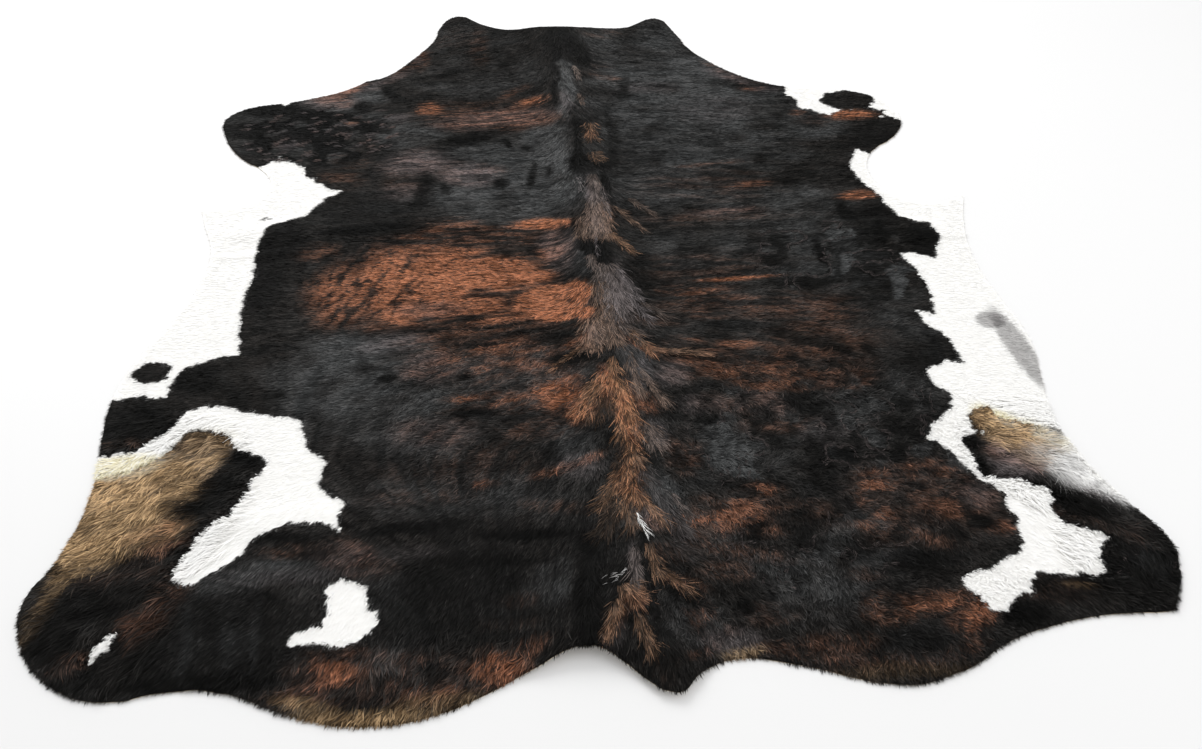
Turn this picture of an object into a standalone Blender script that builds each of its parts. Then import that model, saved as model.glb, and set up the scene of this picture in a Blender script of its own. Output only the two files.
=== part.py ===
"""A cowhide rug lying hair side up on the floor: one whole natural hide.

Metres, +Z up.  The spine runs along +Y, with the neck edge at the +Y end and the root of
the tail at the -Y end.  The origin is under the middle of the hide, on the floor.  The
hide is one sheet, leather and lying hair together, that rests on the floor except where
a fold lifts it.
"""

from collections import namedtuple

import bmesh
import bpy
from mathutils import Vector
from mathutils.geometry import intersect_point_line

# Driving sizes
LEATHER = 0.002              # thickness of the tanned skin
LYING_HAIR = 0.003           # height of the short hair combed down on it
SHEET = LEATHER + LYING_HAIR
CURVE_STEPS = 3              # straight steps between two stations of the outline
CUTTER_HALF_HEIGHT = 0.2     # the outline's prism reaches well past every fold
WELD_GAP = 0.00001           # caps and walls of the prism share their corners

# The outline, from the left side of the neck down to the tail and up the right side, left
# and right as seen from the tail.  x is measured from the spine and y from the middle of
# the hide's length.  A corner is a sharp turn; every other station is passed smoothly.
Station = namedtuple("Station", "x y corner", defaults=(False,))

OUTLINE = {
    "left neck": (
        Station(-0.350, 1.162), Station(-0.398, 1.113), Station(-0.420, 1.025),
        Station(-0.478, 0.922), Station(-0.550, 0.831), Station(-0.598, 0.811),
        Station(-0.638, 0.779)),
    "left foreleg": (
        Station(-0.702, 0.746), Station(-0.806, 0.714), Station(-0.918, 0.690),
        Station(-0.972, 0.635), Station(-0.961, 0.562), Station(-0.902, 0.450),
        Station(-0.826, 0.376), Station(-0.807, 0.318), Station(-0.840, 0.257),
        Station(-0.965, 0.241, True)),
    "left belly": (
        Station(-0.940, 0.160), Station(-0.909, 0.060), Station(-0.914, -0.040),
        Station(-0.952, -0.165), Station(-1.008, -0.300), Station(-1.030, -0.400),
        Station(-1.019, -0.558), Station(-1.009, -0.680), Station(-1.035, -0.806)),
    "left hind leg": (
        Station(-1.069, -0.880), Station(-1.050, -0.970), Station(-0.990, -1.046),
        Station(-0.886, -1.094), Station(-0.766, -1.081), Station(-0.670, -1.094)),
    "left rump": (
        Station(-0.582, -1.134), Station(-0.446, -1.166), Station(-0.300, -1.142),
        Station(-0.170, -1.083), Station(-0.066, -1.054)),
    "tail root": (
        Station(-0.010, -1.090), Station(0.069, -1.144), Station(0.118, -1.103),
        Station(0.178, -1.082)),
    "right rump": (
        Station(0.290, -1.104), Station(0.450, -1.150), Station(0.560, -1.127),
        Station(0.660, -1.076), Station(0.800, -1.043), Station(0.958, -1.042, True)),
    "right hind leg": (
        Station(0.998, -0.970), Station(1.015, -0.895), Station(0.972, -0.802),
        Station(0.928, -0.695), Station(0.904, -0.590)),
    "right belly": (
        Station(0.916, -0.490), Station(0.935, -0.345), Station(0.918, -0.240),
        Station(0.896, -0.110), Station(0.903, 0.026), Station(0.946, 0.177, True)),
    "right foreleg": (
        Station(0.834, 0.146), Station(0.760, 0.190), Station(0.727, 0.298),
        Station(0.756, 0.372), Station(0.830, 0.435), Station(0.873, 0.525),
        Station(0.845, 0.615), Station(0.738, 0.679), Station(0.620, 0.696)),
    "right neck": (
        Station(0.514, 0.738), Station(0.420, 0.818), Station(0.340, 0.928),
        Station(0.304, 1.030), Station(0.254, 1.112), Station(0.170, 1.070)),
    "neck edge": (
        Station(0.034, 1.079), Station(-0.100, 1.093), Station(-0.200, 1.082),
        Station(-0.280, 1.117)),
}

# The folds: straight crests, from one end to the other, each with its height above the
# floor and the reach of its slopes.  Where two meet, the higher one is followed.
Fold = namedtuple("Fold", "x1 y1 x2 y2 height reach")

FOLDS = {
    "neck part of the spine": Fold(-0.030, 1.000, -0.005, 0.300, 0.007, 0.085),
    "back part of the spine": Fold(-0.005, 0.300, 0.030, -0.720, 0.008, 0.085),
    "tail": Fold(0.030, -0.780, 0.062, -1.100, 0.017, 0.080),
    "lifted edge beside the tail": Fold(-0.085, -1.090, -0.060, -0.960, 0.026, 0.130),
    "crease across the left rump": Fold(-0.440, -0.770, -0.080, -0.778, 0.010, 0.055),
    "crease behind the left flank": Fold(-0.760, -0.735, -0.480, -0.740, 0.008, 0.055),
    "crease across the left side": Fold(-0.860, 0.130, -0.440, 0.128, 0.008, 0.055),
    "crease across the right side": Fold(0.600, 0.040, 0.830, 0.040, 0.007, 0.055),
    "left shoulder": Fold(-0.430, 0.700, -0.440, 0.330, 0.007, 0.120),
    "right shoulder": Fold(0.200, 0.720, 0.190, 0.200, 0.006, 0.105),
    "left hind leg, outer": Fold(-0.880, -0.900, -0.830, -1.020, 0.010, 0.075),
    "left hind leg, inner": Fold(-0.730, -0.880, -0.715, -1.020, 0.009, 0.070),
    "right hind leg": Fold(0.900, -0.830, 0.840, -0.960, 0.009, 0.080),
    "right rump": Fold(0.430, -0.640, 0.450, -0.980, 0.006, 0.080),
    "left edge of the neck": Fold(-0.345, 1.130, -0.350, 1.060, 0.009, 0.080),
    "right edge of the neck": Fold(0.245, 1.085, 0.240, 1.020, 0.008, 0.080),
}

# The ruled lines that the sheet bends along: closer together where the folds are.
Ruling = namedtuple("Ruling", "start end steps")

COLUMNS = (
    Ruling(-1.120, -0.160, 22),
    Ruling(-0.160, 0.160, 14),
    Ruling(0.160, 1.060, 20),
)
ROWS = (
    Ruling(-1.200, -0.640, 24),
    Ruling(-0.640, -0.020, 10),
    Ruling(-0.020, 0.200, 11),
    Ruling(0.200, 1.220, 20),
)

DARK_BROWN_HAIR = (0.035, 0.022, 0.018, 1.0)
HAIR_ROUGHNESS = 0.55


def clear_scene():
    for old in list(bpy.data.objects):
        bpy.data.objects.remove(old, do_unlink=True)


def new_collection(name):
    collection = bpy.data.collections.new(name)
    bpy.context.scene.collection.children.link(collection)
    return collection


def move_to(thing, collection):
    for holder in list(thing.users_collection):
        holder.objects.unlink(thing)
    collection.objects.link(thing)


def ruled_lines(rulings):
    """The places of the ruled lines, from one side of the sheet to the other."""
    places = [rulings[0].start]
    for ruling in rulings:
        step = (ruling.end - ruling.start) / ruling.steps
        places += [ruling.start + step * (count + 1) for count in range(ruling.steps)]
    return places


def lift(x, y):
    """Height of the sheet's underside above the floor, from the fold that is highest."""
    highest = 0.0
    for fold in FOLDS.values():
        one_end = Vector((fold.x1, fold.y1))
        other_end = Vector((fold.x2, fold.y2))
        place = Vector((x, y))
        nearest, share = intersect_point_line(place, one_end, other_end)
        if share < 0.0:
            nearest = one_end
        elif share > 1.0:
            nearest = other_end
        across = (place - nearest).length / fold.reach
        if across < 1.0:
            highest = max(highest, fold.height * (1.0 - across ** 2) ** 2)
    return highest


def folded_sheet():
    """A plain sheet, larger than the hide, bent along its ruled lines over the folds."""
    columns = ruled_lines(COLUMNS)
    rows = ruled_lines(ROWS)
    bpy.ops.mesh.primitive_grid_add(
        x_subdivisions=len(columns) - 1, y_subdivisions=len(rows) - 1, size=2.0)
    sheet = bpy.context.object
    sheet.name = "hide"
    for vertex in sheet.data.vertices:
        column = round((vertex.co.x + 1.0) / 2.0 * (len(columns) - 1))
        row = round((vertex.co.y + 1.0) / 2.0 * (len(rows) - 1))
        x = columns[column]
        y = rows[row]
        vertex.co = (x, y, lift(x, y))
    return sheet


def thicken(sheet):
    """Facets first, so that each one stays flat, then the thickness, upwards."""
    facets = sheet.modifiers.new("facets", "TRIANGULATE")
    facets.quad_method = "FIXED"
    shell = sheet.modifiers.new("leather and hair", "SOLIDIFY")
    shell.thickness = SHEET
    shell.offset = 1.0
    shell.use_even_offset = True


def outline_prism():
    """The hide's outline as a smooth closed curve, made solid far above and below."""
    stations = [station for stretch in OUTLINE.values() for station in stretch]
    curve = bpy.data.curves.new("outline", "CURVE")
    curve.dimensions = "2D"
    curve.fill_mode = "BOTH"
    curve.extrude = CUTTER_HALF_HEIGHT
    curve.resolution_u = CURVE_STEPS
    spline = curve.splines.new("BEZIER")
    spline.bezier_points.add(len(stations) - 1)
    spline.use_cyclic_u = True
    for point, station in zip(spline.bezier_points, stations):
        point.co = (station.x, station.y, 0.0)
        kind = "VECTOR" if station.corner else "AUTO"
        point.handle_left_type = kind
        point.handle_right_type = kind
    drawn = bpy.data.objects.new("outline drawn", curve)
    bpy.context.scene.collection.objects.link(drawn)
    return solid_copy(drawn, "outline")


def solid_copy(drawn, name):
    """A curve can't cut, so it becomes a mesh with its caps welded on."""
    graph = bpy.context.evaluated_depsgraph_get()
    mesh = bpy.data.meshes.new_from_object(drawn.evaluated_get(graph))
    welded = bmesh.new()
    welded.from_mesh(mesh)
    bmesh.ops.remove_doubles(welded, verts=welded.verts, dist=WELD_GAP)
    welded.to_mesh(mesh)
    welded.free()
    solid = bpy.data.objects.new(name, mesh)
    solid.matrix_world = drawn.matrix_world.copy()
    bpy.data.objects.remove(drawn, do_unlink=True)
    return solid


def cut_to_outline(sheet, prism):
    cut = sheet.modifiers.new("outline", "BOOLEAN")
    cut.operation = "INTERSECT"
    cut.solver = "EXACT"
    cut.object = prism


def centre_on_origin(sheet, prism):
    """The middle of the hide's box goes over the origin."""
    xs = [vertex.co.x for vertex in prism.data.vertices]
    ys = [vertex.co.y for vertex in prism.data.vertices]
    shift = (-(min(xs) + max(xs)) / 2.0, -(min(ys) + max(ys)) / 2.0, 0.0)
    sheet.location = shift
    prism.location = shift


def hair_material():
    material = bpy.data.materials.new("cowhide")
    material.use_nodes = True
    shader = material.node_tree.nodes["Principled BSDF"]
    shader.inputs["Base Color"].default_value = DARK_BROWN_HAIR
    shader.inputs["Roughness"].default_value = HAIR_ROUGHNESS
    shader.inputs["Metallic"].default_value = 0.0
    return material


def main():
    clear_scene()
    parts = new_collection("cowhide rug")
    guides = new_collection("guides")
    sheet = folded_sheet()
    move_to(sheet, parts)
    thicken(sheet)
    prism = outline_prism()
    guides.objects.link(prism)
    prism.hide_render = True
    prism.display_type = "WIRE"
    cut_to_outline(sheet, prism)
    centre_on_origin(sheet, prism)
    sheet.data.materials.append(hair_material())


main()
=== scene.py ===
# %% [markdown]
# # A cowhide rug, hair side up
# A whole hide is one natural sheet: tanned leather underneath, and on top a coat of short
# hair that lies down in one direction, away from the spine and towards the tail. Nothing is
# sewn to it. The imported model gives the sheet's outline and its main folds. This script lays
# a thin leather sheet over those folds and covers it with hair, strand by strand.

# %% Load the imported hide
import math
from collections import namedtuple

import bmesh
import bpy
import numpy as np
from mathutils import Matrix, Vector
from mathutils.bvhtree import BVHTree


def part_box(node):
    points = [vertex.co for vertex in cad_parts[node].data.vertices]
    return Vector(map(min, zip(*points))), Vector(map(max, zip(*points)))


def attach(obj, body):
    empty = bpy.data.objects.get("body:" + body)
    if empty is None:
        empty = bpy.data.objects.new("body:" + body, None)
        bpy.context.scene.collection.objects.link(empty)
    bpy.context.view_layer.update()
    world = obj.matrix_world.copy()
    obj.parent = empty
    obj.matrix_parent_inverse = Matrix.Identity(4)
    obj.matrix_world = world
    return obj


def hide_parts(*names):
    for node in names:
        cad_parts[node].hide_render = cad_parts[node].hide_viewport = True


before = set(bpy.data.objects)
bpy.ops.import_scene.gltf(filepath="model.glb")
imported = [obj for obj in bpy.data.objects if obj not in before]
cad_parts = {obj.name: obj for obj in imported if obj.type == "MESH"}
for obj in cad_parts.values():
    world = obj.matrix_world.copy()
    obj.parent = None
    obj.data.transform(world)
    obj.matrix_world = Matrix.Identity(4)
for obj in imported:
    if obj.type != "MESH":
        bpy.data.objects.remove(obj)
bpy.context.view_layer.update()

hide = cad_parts["hide"]
low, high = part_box("hide")
print("hide, metres:", [round(end - start, 3) for start, end in zip(low, high)])

# %% [markdown]
# ## Where the spine is
# Everything on a hide is placed from its spine: the coat is parted there and the markings
# lie to its left or right. The frame's origin is the middle of the hide's box, so the spine
# is found from how far the hide reaches to its left, and the middle of its length from how
# far it reaches behind.

# %% Find the spine in the frame
LEFT_REACH = 1.0695      # from the spine to the outer edge of the left hind leg
TAIL_REACH = 1.1660      # from the middle of the spine's length to the edge of the rump
SPINE_X = low.x + LEFT_REACH
MIDDLE_Y = low.y + TAIL_REACH
print("spine at x", round(SPINE_X, 4), "and middle at y", round(MIDDLE_Y, 4))

# %% [markdown]
# ## Charts
# A chart is a regular grid of values laid over the hide, such as how deep a place lies
# inside the outline. Values are worked out once for each chart and then read between its
# points for hundreds of thousands of hairs. This is quicker than measuring each hair, and
# every layer then agrees on where the edge and the folds are.

# %% Rule the chart and read values from it
CHART_STEP = 0.006
CHART_MARGIN = 0.06
chart_columns = np.arange(low.x - CHART_MARGIN, high.x + CHART_MARGIN, CHART_STEP)
chart_rows = np.arange(low.y - CHART_MARGIN, high.y + CHART_MARGIN, CHART_STEP)
chart_x, chart_y = np.meshgrid(chart_columns - SPINE_X, chart_rows - MIDDLE_Y)


def read_chart(chart, x, y):
    """Values between the chart's points; x is from the spine and y from the middle."""
    across = np.clip((x + SPINE_X - chart_columns[0]) / CHART_STEP, 0, chart.shape[1] - 1.001)
    along = np.clip((y + MIDDLE_Y - chart_rows[0]) / CHART_STEP, 0, chart.shape[0] - 1.001)
    column, row = across.astype(int), along.astype(int)
    right, up = across - column, along - row
    near = chart[row, column] * (1 - right) + chart[row, column + 1] * right
    far = chart[row + 1, column] * (1 - right) + chart[row + 1, column + 1] * right
    return near * (1 - up) + far * up


def off_segment(x, y, x1, y1, x2, y2):
    """How far places lie from the nearest point of a straight segment, along x and y."""
    run_x, run_y = x2 - x1, y2 - y1
    share = ((x - x1) * run_x + (y - y1) * run_y) / (run_x ** 2 + run_y ** 2)
    share = np.clip(share, 0, 1)
    return x - x1 - share * run_x, y - y1 - share * run_y


def depth_inside(points, x, y):
    """How deep places lie inside a closed outline, in metres; negative outside it."""
    nearest = np.full(x.shape, np.inf)
    inside = np.zeros(x.shape, bool)
    for (x1, y1), (x2, y2) in zip(points, np.roll(points, -1, axis=0)):
        off_x, off_y = off_segment(x, y, x1, y1, x2, y2)
        nearest = np.minimum(nearest, off_x ** 2 + off_y ** 2)
        if y1 != y2:
            inside ^= ((y1 > y) != (y2 > y)) & (x < x1 + (y - y1) * (x2 - x1) / (y2 - y1))
    return np.where(inside, 1, -1) * np.sqrt(nearest)


print("chart:", chart_x.shape, "points,", round(CHART_STEP * 1000), "mm apart")

# %% [markdown]
# ## Uneven blotches
# Nothing on a hide is even. One helper gives smooth random blotches of any size, which
# later bend the hair, break up the edges of the markings and streak the colours. A seed
# goes with each use, so that every run gives the same hide.

# %% Smooth random blotches
LATTICE = 256


def blotches(x, y, size, seed, stretch=1.0):
    """Smooth values from -1 to 1, about size metres apart, drawn out along x."""
    lattice = np.random.default_rng(seed).uniform(-1, 1, (LATTICE, LATTICE))
    across, along = x / (size * stretch) + seed * 7.3, y / size + seed * 3.1
    column, row = np.floor(across).astype(int), np.floor(along).astype(int)
    right, up = across - column, along - row
    right, up = right * right * (3 - 2 * right), up * up * (3 - 2 * up)
    column, row = column % LATTICE, row % LATTICE
    next_column, next_row = (column + 1) % LATTICE, (row + 1) % LATTICE
    near = lattice[row, column] * (1 - right) + lattice[row, next_column] * right
    far = lattice[next_row, column] * (1 - right) + lattice[next_row, next_column] * right
    return near * (1 - up) + far * up


Ramp = namedtuple("Ramp", "start end")      # where a soft slope starts and ends


def smooth_step(value, start, end):
    """0 up to start, 1 from end on, and a soft slope between them."""
    share = np.clip((value - start) / (end - start), 0, 1)
    return share * share * (3 - 2 * share)


print("one blotch, for example:", round(float(blotches(np.zeros(1), np.zeros(1), 0.1, 1)[0]), 2))

# %% [markdown]
# ## The outline and the folds
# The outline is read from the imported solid's own lower rim, and the folds from rays shot
# down onto its top. The solid bends along a few hundred facets, so the heights are blurred
# a little, which turns each facet edge into a soft slope. A hide that was folded in a
# parcel also keeps faint creases and a slight swell, which are added here.

# %% Read the outline from the solid's lower rim
WELD_GAP = 0.00001           # corners closer than this are one corner
FACING_DOWN = -0.8           # the underside's faces look down at least this much
UPRIGHT = 0.3                # and those of the cut edge up or down less than this


def lower_rim(node):
    """The points of the underside's outline, in order round it."""
    solid = bmesh.new()
    solid.from_mesh(node.data)
    bmesh.ops.remove_doubles(solid, verts=solid.verts, dist=WELD_GAP)
    beside = {}
    for edge in solid.edges:
        faces = sorted(face.normal.z for face in edge.link_faces)
        if faces[0] < FACING_DOWN and abs(faces[-1]) < UPRIGHT:
            one, other = edge.verts
            beside.setdefault(one, []).append(other)
            beside.setdefault(other, []).append(one)
    here = next(iter(beside))
    came_from = None
    rim = []
    while here not in rim:
        rim.append(here)
        onward = [vert for vert in beside[here] if vert is not came_from]
        came_from, here = here, onward[0]
    points = np.array([(vert.co.x - SPINE_X, vert.co.y - MIDDLE_Y) for vert in rim])
    solid.free()
    return points


outline = lower_rim(hide)
edge_depth = depth_inside(outline, chart_x, chart_y)
slope_y, slope_x = np.gradient(edge_depth, CHART_STEP)
print("outline:", len(outline), "points; area", round((edge_depth > 0).sum() * CHART_STEP ** 2, 2))

# %% Read the folds from the solid's top
SHEET_THICKNESS = 0.005      # leather and lying hair together, as the solid has them
BLUR_ROUNDS = 5
READ_INSIDE = 0.004          # near the edge, heights are read this far inside it
READ_BEYOND = 0.04           # and the chart is filled this far outside it
RAY_START = 1.0              # height that the rays come down from
WANDER = 0.006               # how far a crease strays from a straight line
SWELL = 0.0015               # the highest swell between the creases
Crease = namedtuple("Crease", "x1 y1 x2 y2 height reach")
SMALL_CREASES = (
    Crease(-0.93, 0.045, -0.70, 0.050, 0.0030, 0.022),
    Crease(-0.40, 0.128, -0.06, 0.118, 0.0030, 0.022),
    Crease(0.52, 0.075, 0.80, 0.068, 0.0035, 0.020),
    Crease(0.62, 0.000, 0.90, 0.010, 0.0025, 0.018),
    Crease(0.44, -0.350, 0.72, -0.345, 0.0025, 0.018),
    Crease(-0.36, -0.845, -0.20, -0.835, 0.0050, 0.030),
    Crease(-0.66, -0.770, -0.52, -0.800, 0.0040, 0.025),
    Crease(-0.62, -0.880, -0.60, -1.040, 0.0050, 0.035),
    Crease(-0.98, -0.840, -0.95, -0.960, 0.0050, 0.035),
    Crease(0.43, -0.560, 0.42, -0.940, 0.0030, 0.022),
    Crease(0.72, -0.960, 0.82, -1.010, 0.0045, 0.030),
    Crease(-0.02, -0.860, -0.01, -1.020, 0.0060, 0.035),
    Crease(0.12, -0.830, 0.13, -1.050, 0.0050, 0.035),
    Crease(-0.60, 0.700, -0.52, 0.600, 0.0040, 0.040),
)


def heights_from(node):
    """Height of the sheet's underside at each point of the chart, read at the nearest
    place inside the outline."""
    tree = BVHTree.FromPolygons(
        [vert.co.copy() for vert in node.data.vertices],
        [tuple(face.vertices) for face in node.data.polygons])
    pull = np.where(edge_depth < READ_INSIDE, READ_INSIDE - edge_depth, 0.0)
    places_x = chart_x + pull * slope_x + SPINE_X
    places_y = chart_y + pull * slope_y + MIDDLE_Y
    heights = np.zeros(chart_x.shape)
    down = Vector((0, 0, -1))
    for row, column in zip(*np.nonzero(edge_depth > -READ_BEYOND)):
        start = Vector((places_x[row, column], places_y[row, column], RAY_START))
        hit = tree.ray_cast(start, down)[0]
        if hit:
            heights[row, column] = hit.z - SHEET_THICKNESS
    return np.maximum(heights, 0)


def blurred(chart, rounds):
    """A chart with each value drawn towards its neighbours, a few times over."""
    for _ in range(rounds):
        chart = (np.roll(chart, 1, 0) + 2 * chart + np.roll(chart, -1, 0)) / 4
        chart = (np.roll(chart, 1, 1) + 2 * chart + np.roll(chart, -1, 1)) / 4
    return chart


def crease_heights(creases, x, y):
    """Height of the highest of some creases at each place."""
    heights = np.zeros(x.shape)
    for crease in creases:
        ends = (crease.x1, crease.y1, crease.x2, crease.y2)
        across = np.hypot(*off_segment(x, y, *ends))
        bump = np.clip(1 - (across / crease.reach) ** 2, 0, 1) ** 2
        heights = np.maximum(heights, crease.height * bump)
    return heights


wander_x = chart_x + WANDER * blotches(chart_x, chart_y, 0.10, 11)
wander_y = chart_y + WANDER * blotches(chart_x, chart_y, 0.08, 12)
swell = SWELL * np.clip(blotches(chart_x, chart_y, 0.16, 13), 0, 1)
fold_heights = blurred(heights_from(hide), BLUR_ROUNDS)
fold_heights += crease_heights(SMALL_CREASES, wander_x, wander_y) + swell
print("folds rise to", round(fold_heights[edge_depth > 0].max() * 1000, 1), "mm")

# %% [markdown]
# ## The white patches
# This hide is a brindle with white: a nearly black coat, streaked with red-brown and
# slate grey, the slate partly grey hair and partly painted sheen, and white patches at the
# legs, belly and flanks, two of them with long golden hair. A patch is an outline of its own,
# and runs out past the hide's edge where the white does. A hair takes its colour from a place
# near its root, so its tip can reach across a border, and that is what makes a real border
# look torn. Noise roughens it a little more.

# %% White patches and what lies in them
MILLIMETRES = 1000           # in a metre: the long tables are in whole millimetres
# The corners of each patch, in millimetres: x from the spine, y from the middle of its length.
WHITE_PATCHES = {
    "left armpit and belly": (
        (-855, 395), (-800, 450), (-730, 395), (-720, 360), (-670, 315), (-625, 290), (-670, 250),
        (-695, 200), (-730, 180), (-775, 160), (-790, 130), (-800, 65), (-795, -15), (-805, -95),
        (-800, -190), (-785, -285), (-845, -295), (-895, -320), (-915, -350), (-915, -400),
        (-950, -400), (-1200, -405), (-1200, 300), (-900, 340)),
    "left flank": (
        (-865, -440), (-815, -435), (-720, -460), (-630, -485), (-605, -560), (-570, -600),
        (-575, -655), (-520, -710), (-530, -740), (-515, -785), (-560, -750), (-620, -750),
        (-680, -775), (-695, -815), (-750, -855), (-790, -875), (-815, -860), (-795, -795),
        (-765, -745), (-725, -715), (-710, -650), (-685, -600), (-695, -575), (-740, -560),
        (-770, -520), (-825, -500), (-855, -510), (-870, -545), (-915, -585), (-950, -605),
        (-1005, -615), (-1200, -660), (-1200, -555), (-955, -555), (-915, -520), (-880, -490)),
    "left rump": (
        (-510, -875), (-460, -900), (-460, -940), (-435, -970), (-460, -1005), (-510, -1010),
        (-575, -1005), (-600, -1020), (-575, -980), (-535, -975), (-530, -925), (-535, -900)),
    "left hind leg": (
        (-880, -965), (-890, -980), (-890, -995), (-905, -1005), (-915, -1015), (-920, -1020),
        (-920, -1005), (-920, -995), (-925, -990), (-915, -980), (-895, -970)),
    "left shoulder": (
        (-835, 715), (-815, 695), (-800, 715), (-815, 730)),
    "right foreleg": (
        (590, 720), (580, 660), (600, 645), (600, 595), (625, 585), (660, 560), (700, 540),
        (760, 520), (830, 535), (860, 520), (960, 500), (960, 740), (700, 760)),
    "right armpit, belly and flank": (
        (715, 380), (680, 315), (690, 260), (720, 200), (730, 160), (755, 100), (785, 65),
        (820, 60), (830, 10), (815, -45), (795, -70), (760, -45), (720, -45), (730, -80),
        (750, -100), (750, -160), (755, -205), (745, -255), (705, -245), (720, -285), (755, -335),
        (765, -415), (730, -405), (680, -430), (680, -460), (710, -500), (705, -540), (650, -580),
        (630, -620), (655, -635), (670, -660), (680, -685), (700, -725), (720, -740), (745, -765),
        (735, -795), (745, -825), (740, -850), (735, -890), (720, -905), (700, -910), (665, -930),
        (610, -945), (600, -955), (620, -995), (635, -1015), (660, -1020), (680, -995), (720, -985),
        (720, -965), (730, -950), (735, -945), (785, -950), (830, -960), (860, -955), (860, -930),
        (875, -895), (900, -885), (865, -865), (830, -845), (820, -820), (825, -785), (825, -765),
        (800, -750), (775, -735), (730, -725), (710, -725), (705, -700), (710, -690), (700, -655),
        (700, -620), (735, -615), (745, -610), (725, -600), (730, -565), (740, -545), (775, -540),
        (785, -570), (840, -595), (900, -615), (960, -640), (1200, -700), (1200, 300), (800, 330)),
}
Spot = namedtuple("Spot", "x y half_width half_height turn")
DARK_SPOTS_IN_WHITE = (
    Spot(-0.961, -0.329, 0.040, 0.034, 20), Spot(-0.800, 0.187, 0.010, 0.007, 0),
    Spot(0.746, 0.623, 0.080, 0.049, 5), Spot(0.756, 0.545, 0.077, 0.033, 5),
)


def spot_depth(spot, x, y):
    """About how deep places lie inside a turned ellipse, in metres."""
    turn = math.radians(spot.turn)
    across = (x - spot.x) * math.cos(turn) + (y - spot.y) * math.sin(turn)
    along = (y - spot.y) * math.cos(turn) - (x - spot.x) * math.sin(turn)
    reach = np.hypot(across / spot.half_width, along / spot.half_height)
    return (1 - reach) * min(spot.half_width, spot.half_height)


def spot_share(spot, x, y):
    """1 in the middle of a spot, 0 on its rim and less outside it."""
    return spot_depth(spot, x, y) / min(spot.half_width, spot.half_height)


def patches_depth(patches):
    """How deep each point of the chart lies inside the nearest of some patches."""
    depth = np.full(chart_x.shape, -1.0)
    for patch in patches.values():
        depth = np.maximum(depth, depth_inside(np.array(patch) / MILLIMETRES, chart_x, chart_y))
    return depth


white_depth = patches_depth(WHITE_PATCHES)
for spot in DARK_SPOTS_IN_WHITE:
    white_depth = np.minimum(white_depth, -spot_depth(spot, chart_x, chart_y))
print("white share:", round(float((white_depth > 0)[edge_depth > 0].mean()), 2))

# %% [markdown]
# ## The slate islands
# On the right side a few islands of paler slate coat, partly painted sheen, stand clear of
# the brown, with a plain border instead of streaks. They are outlined in the same way as the
# white patches.

# %% Islands of paler slate coat, partly painted sheen, on the right side
SLATE_AND_SHEEN_ISLANDS = {
    "behind the loin": (
        (220, -540), (235, -555), (240, -580), (245, -600), (265, -605), (265, -635), (270, -655),
        (275, -680), (280, -700), (260, -700), (230, -690), (205, -675), (180, -655), (175, -630),
        (195, -605), (210, -585), (210, -560)),
    "flank": (
        (560, 30), (570, 0), (560, -60), (545, -95), (540, -115), (550, -130), (570, -115),
        (590, -95), (610, -50), (630, -20), (625, 0), (630, 35), (620, 55), (610, 25), (595, 50),
        (585, 70), (555, 50)),
    "near the belly": (
        (685, -85), (720, -95), (745, -105), (735, -115), (710, -120), (720, -145), (710, -150),
        (695, -185), (680, -205), (665, -210), (675, -150), (670, -105)),
}
island_depth = patches_depth(SLATE_AND_SHEEN_ISLANDS)
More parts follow.
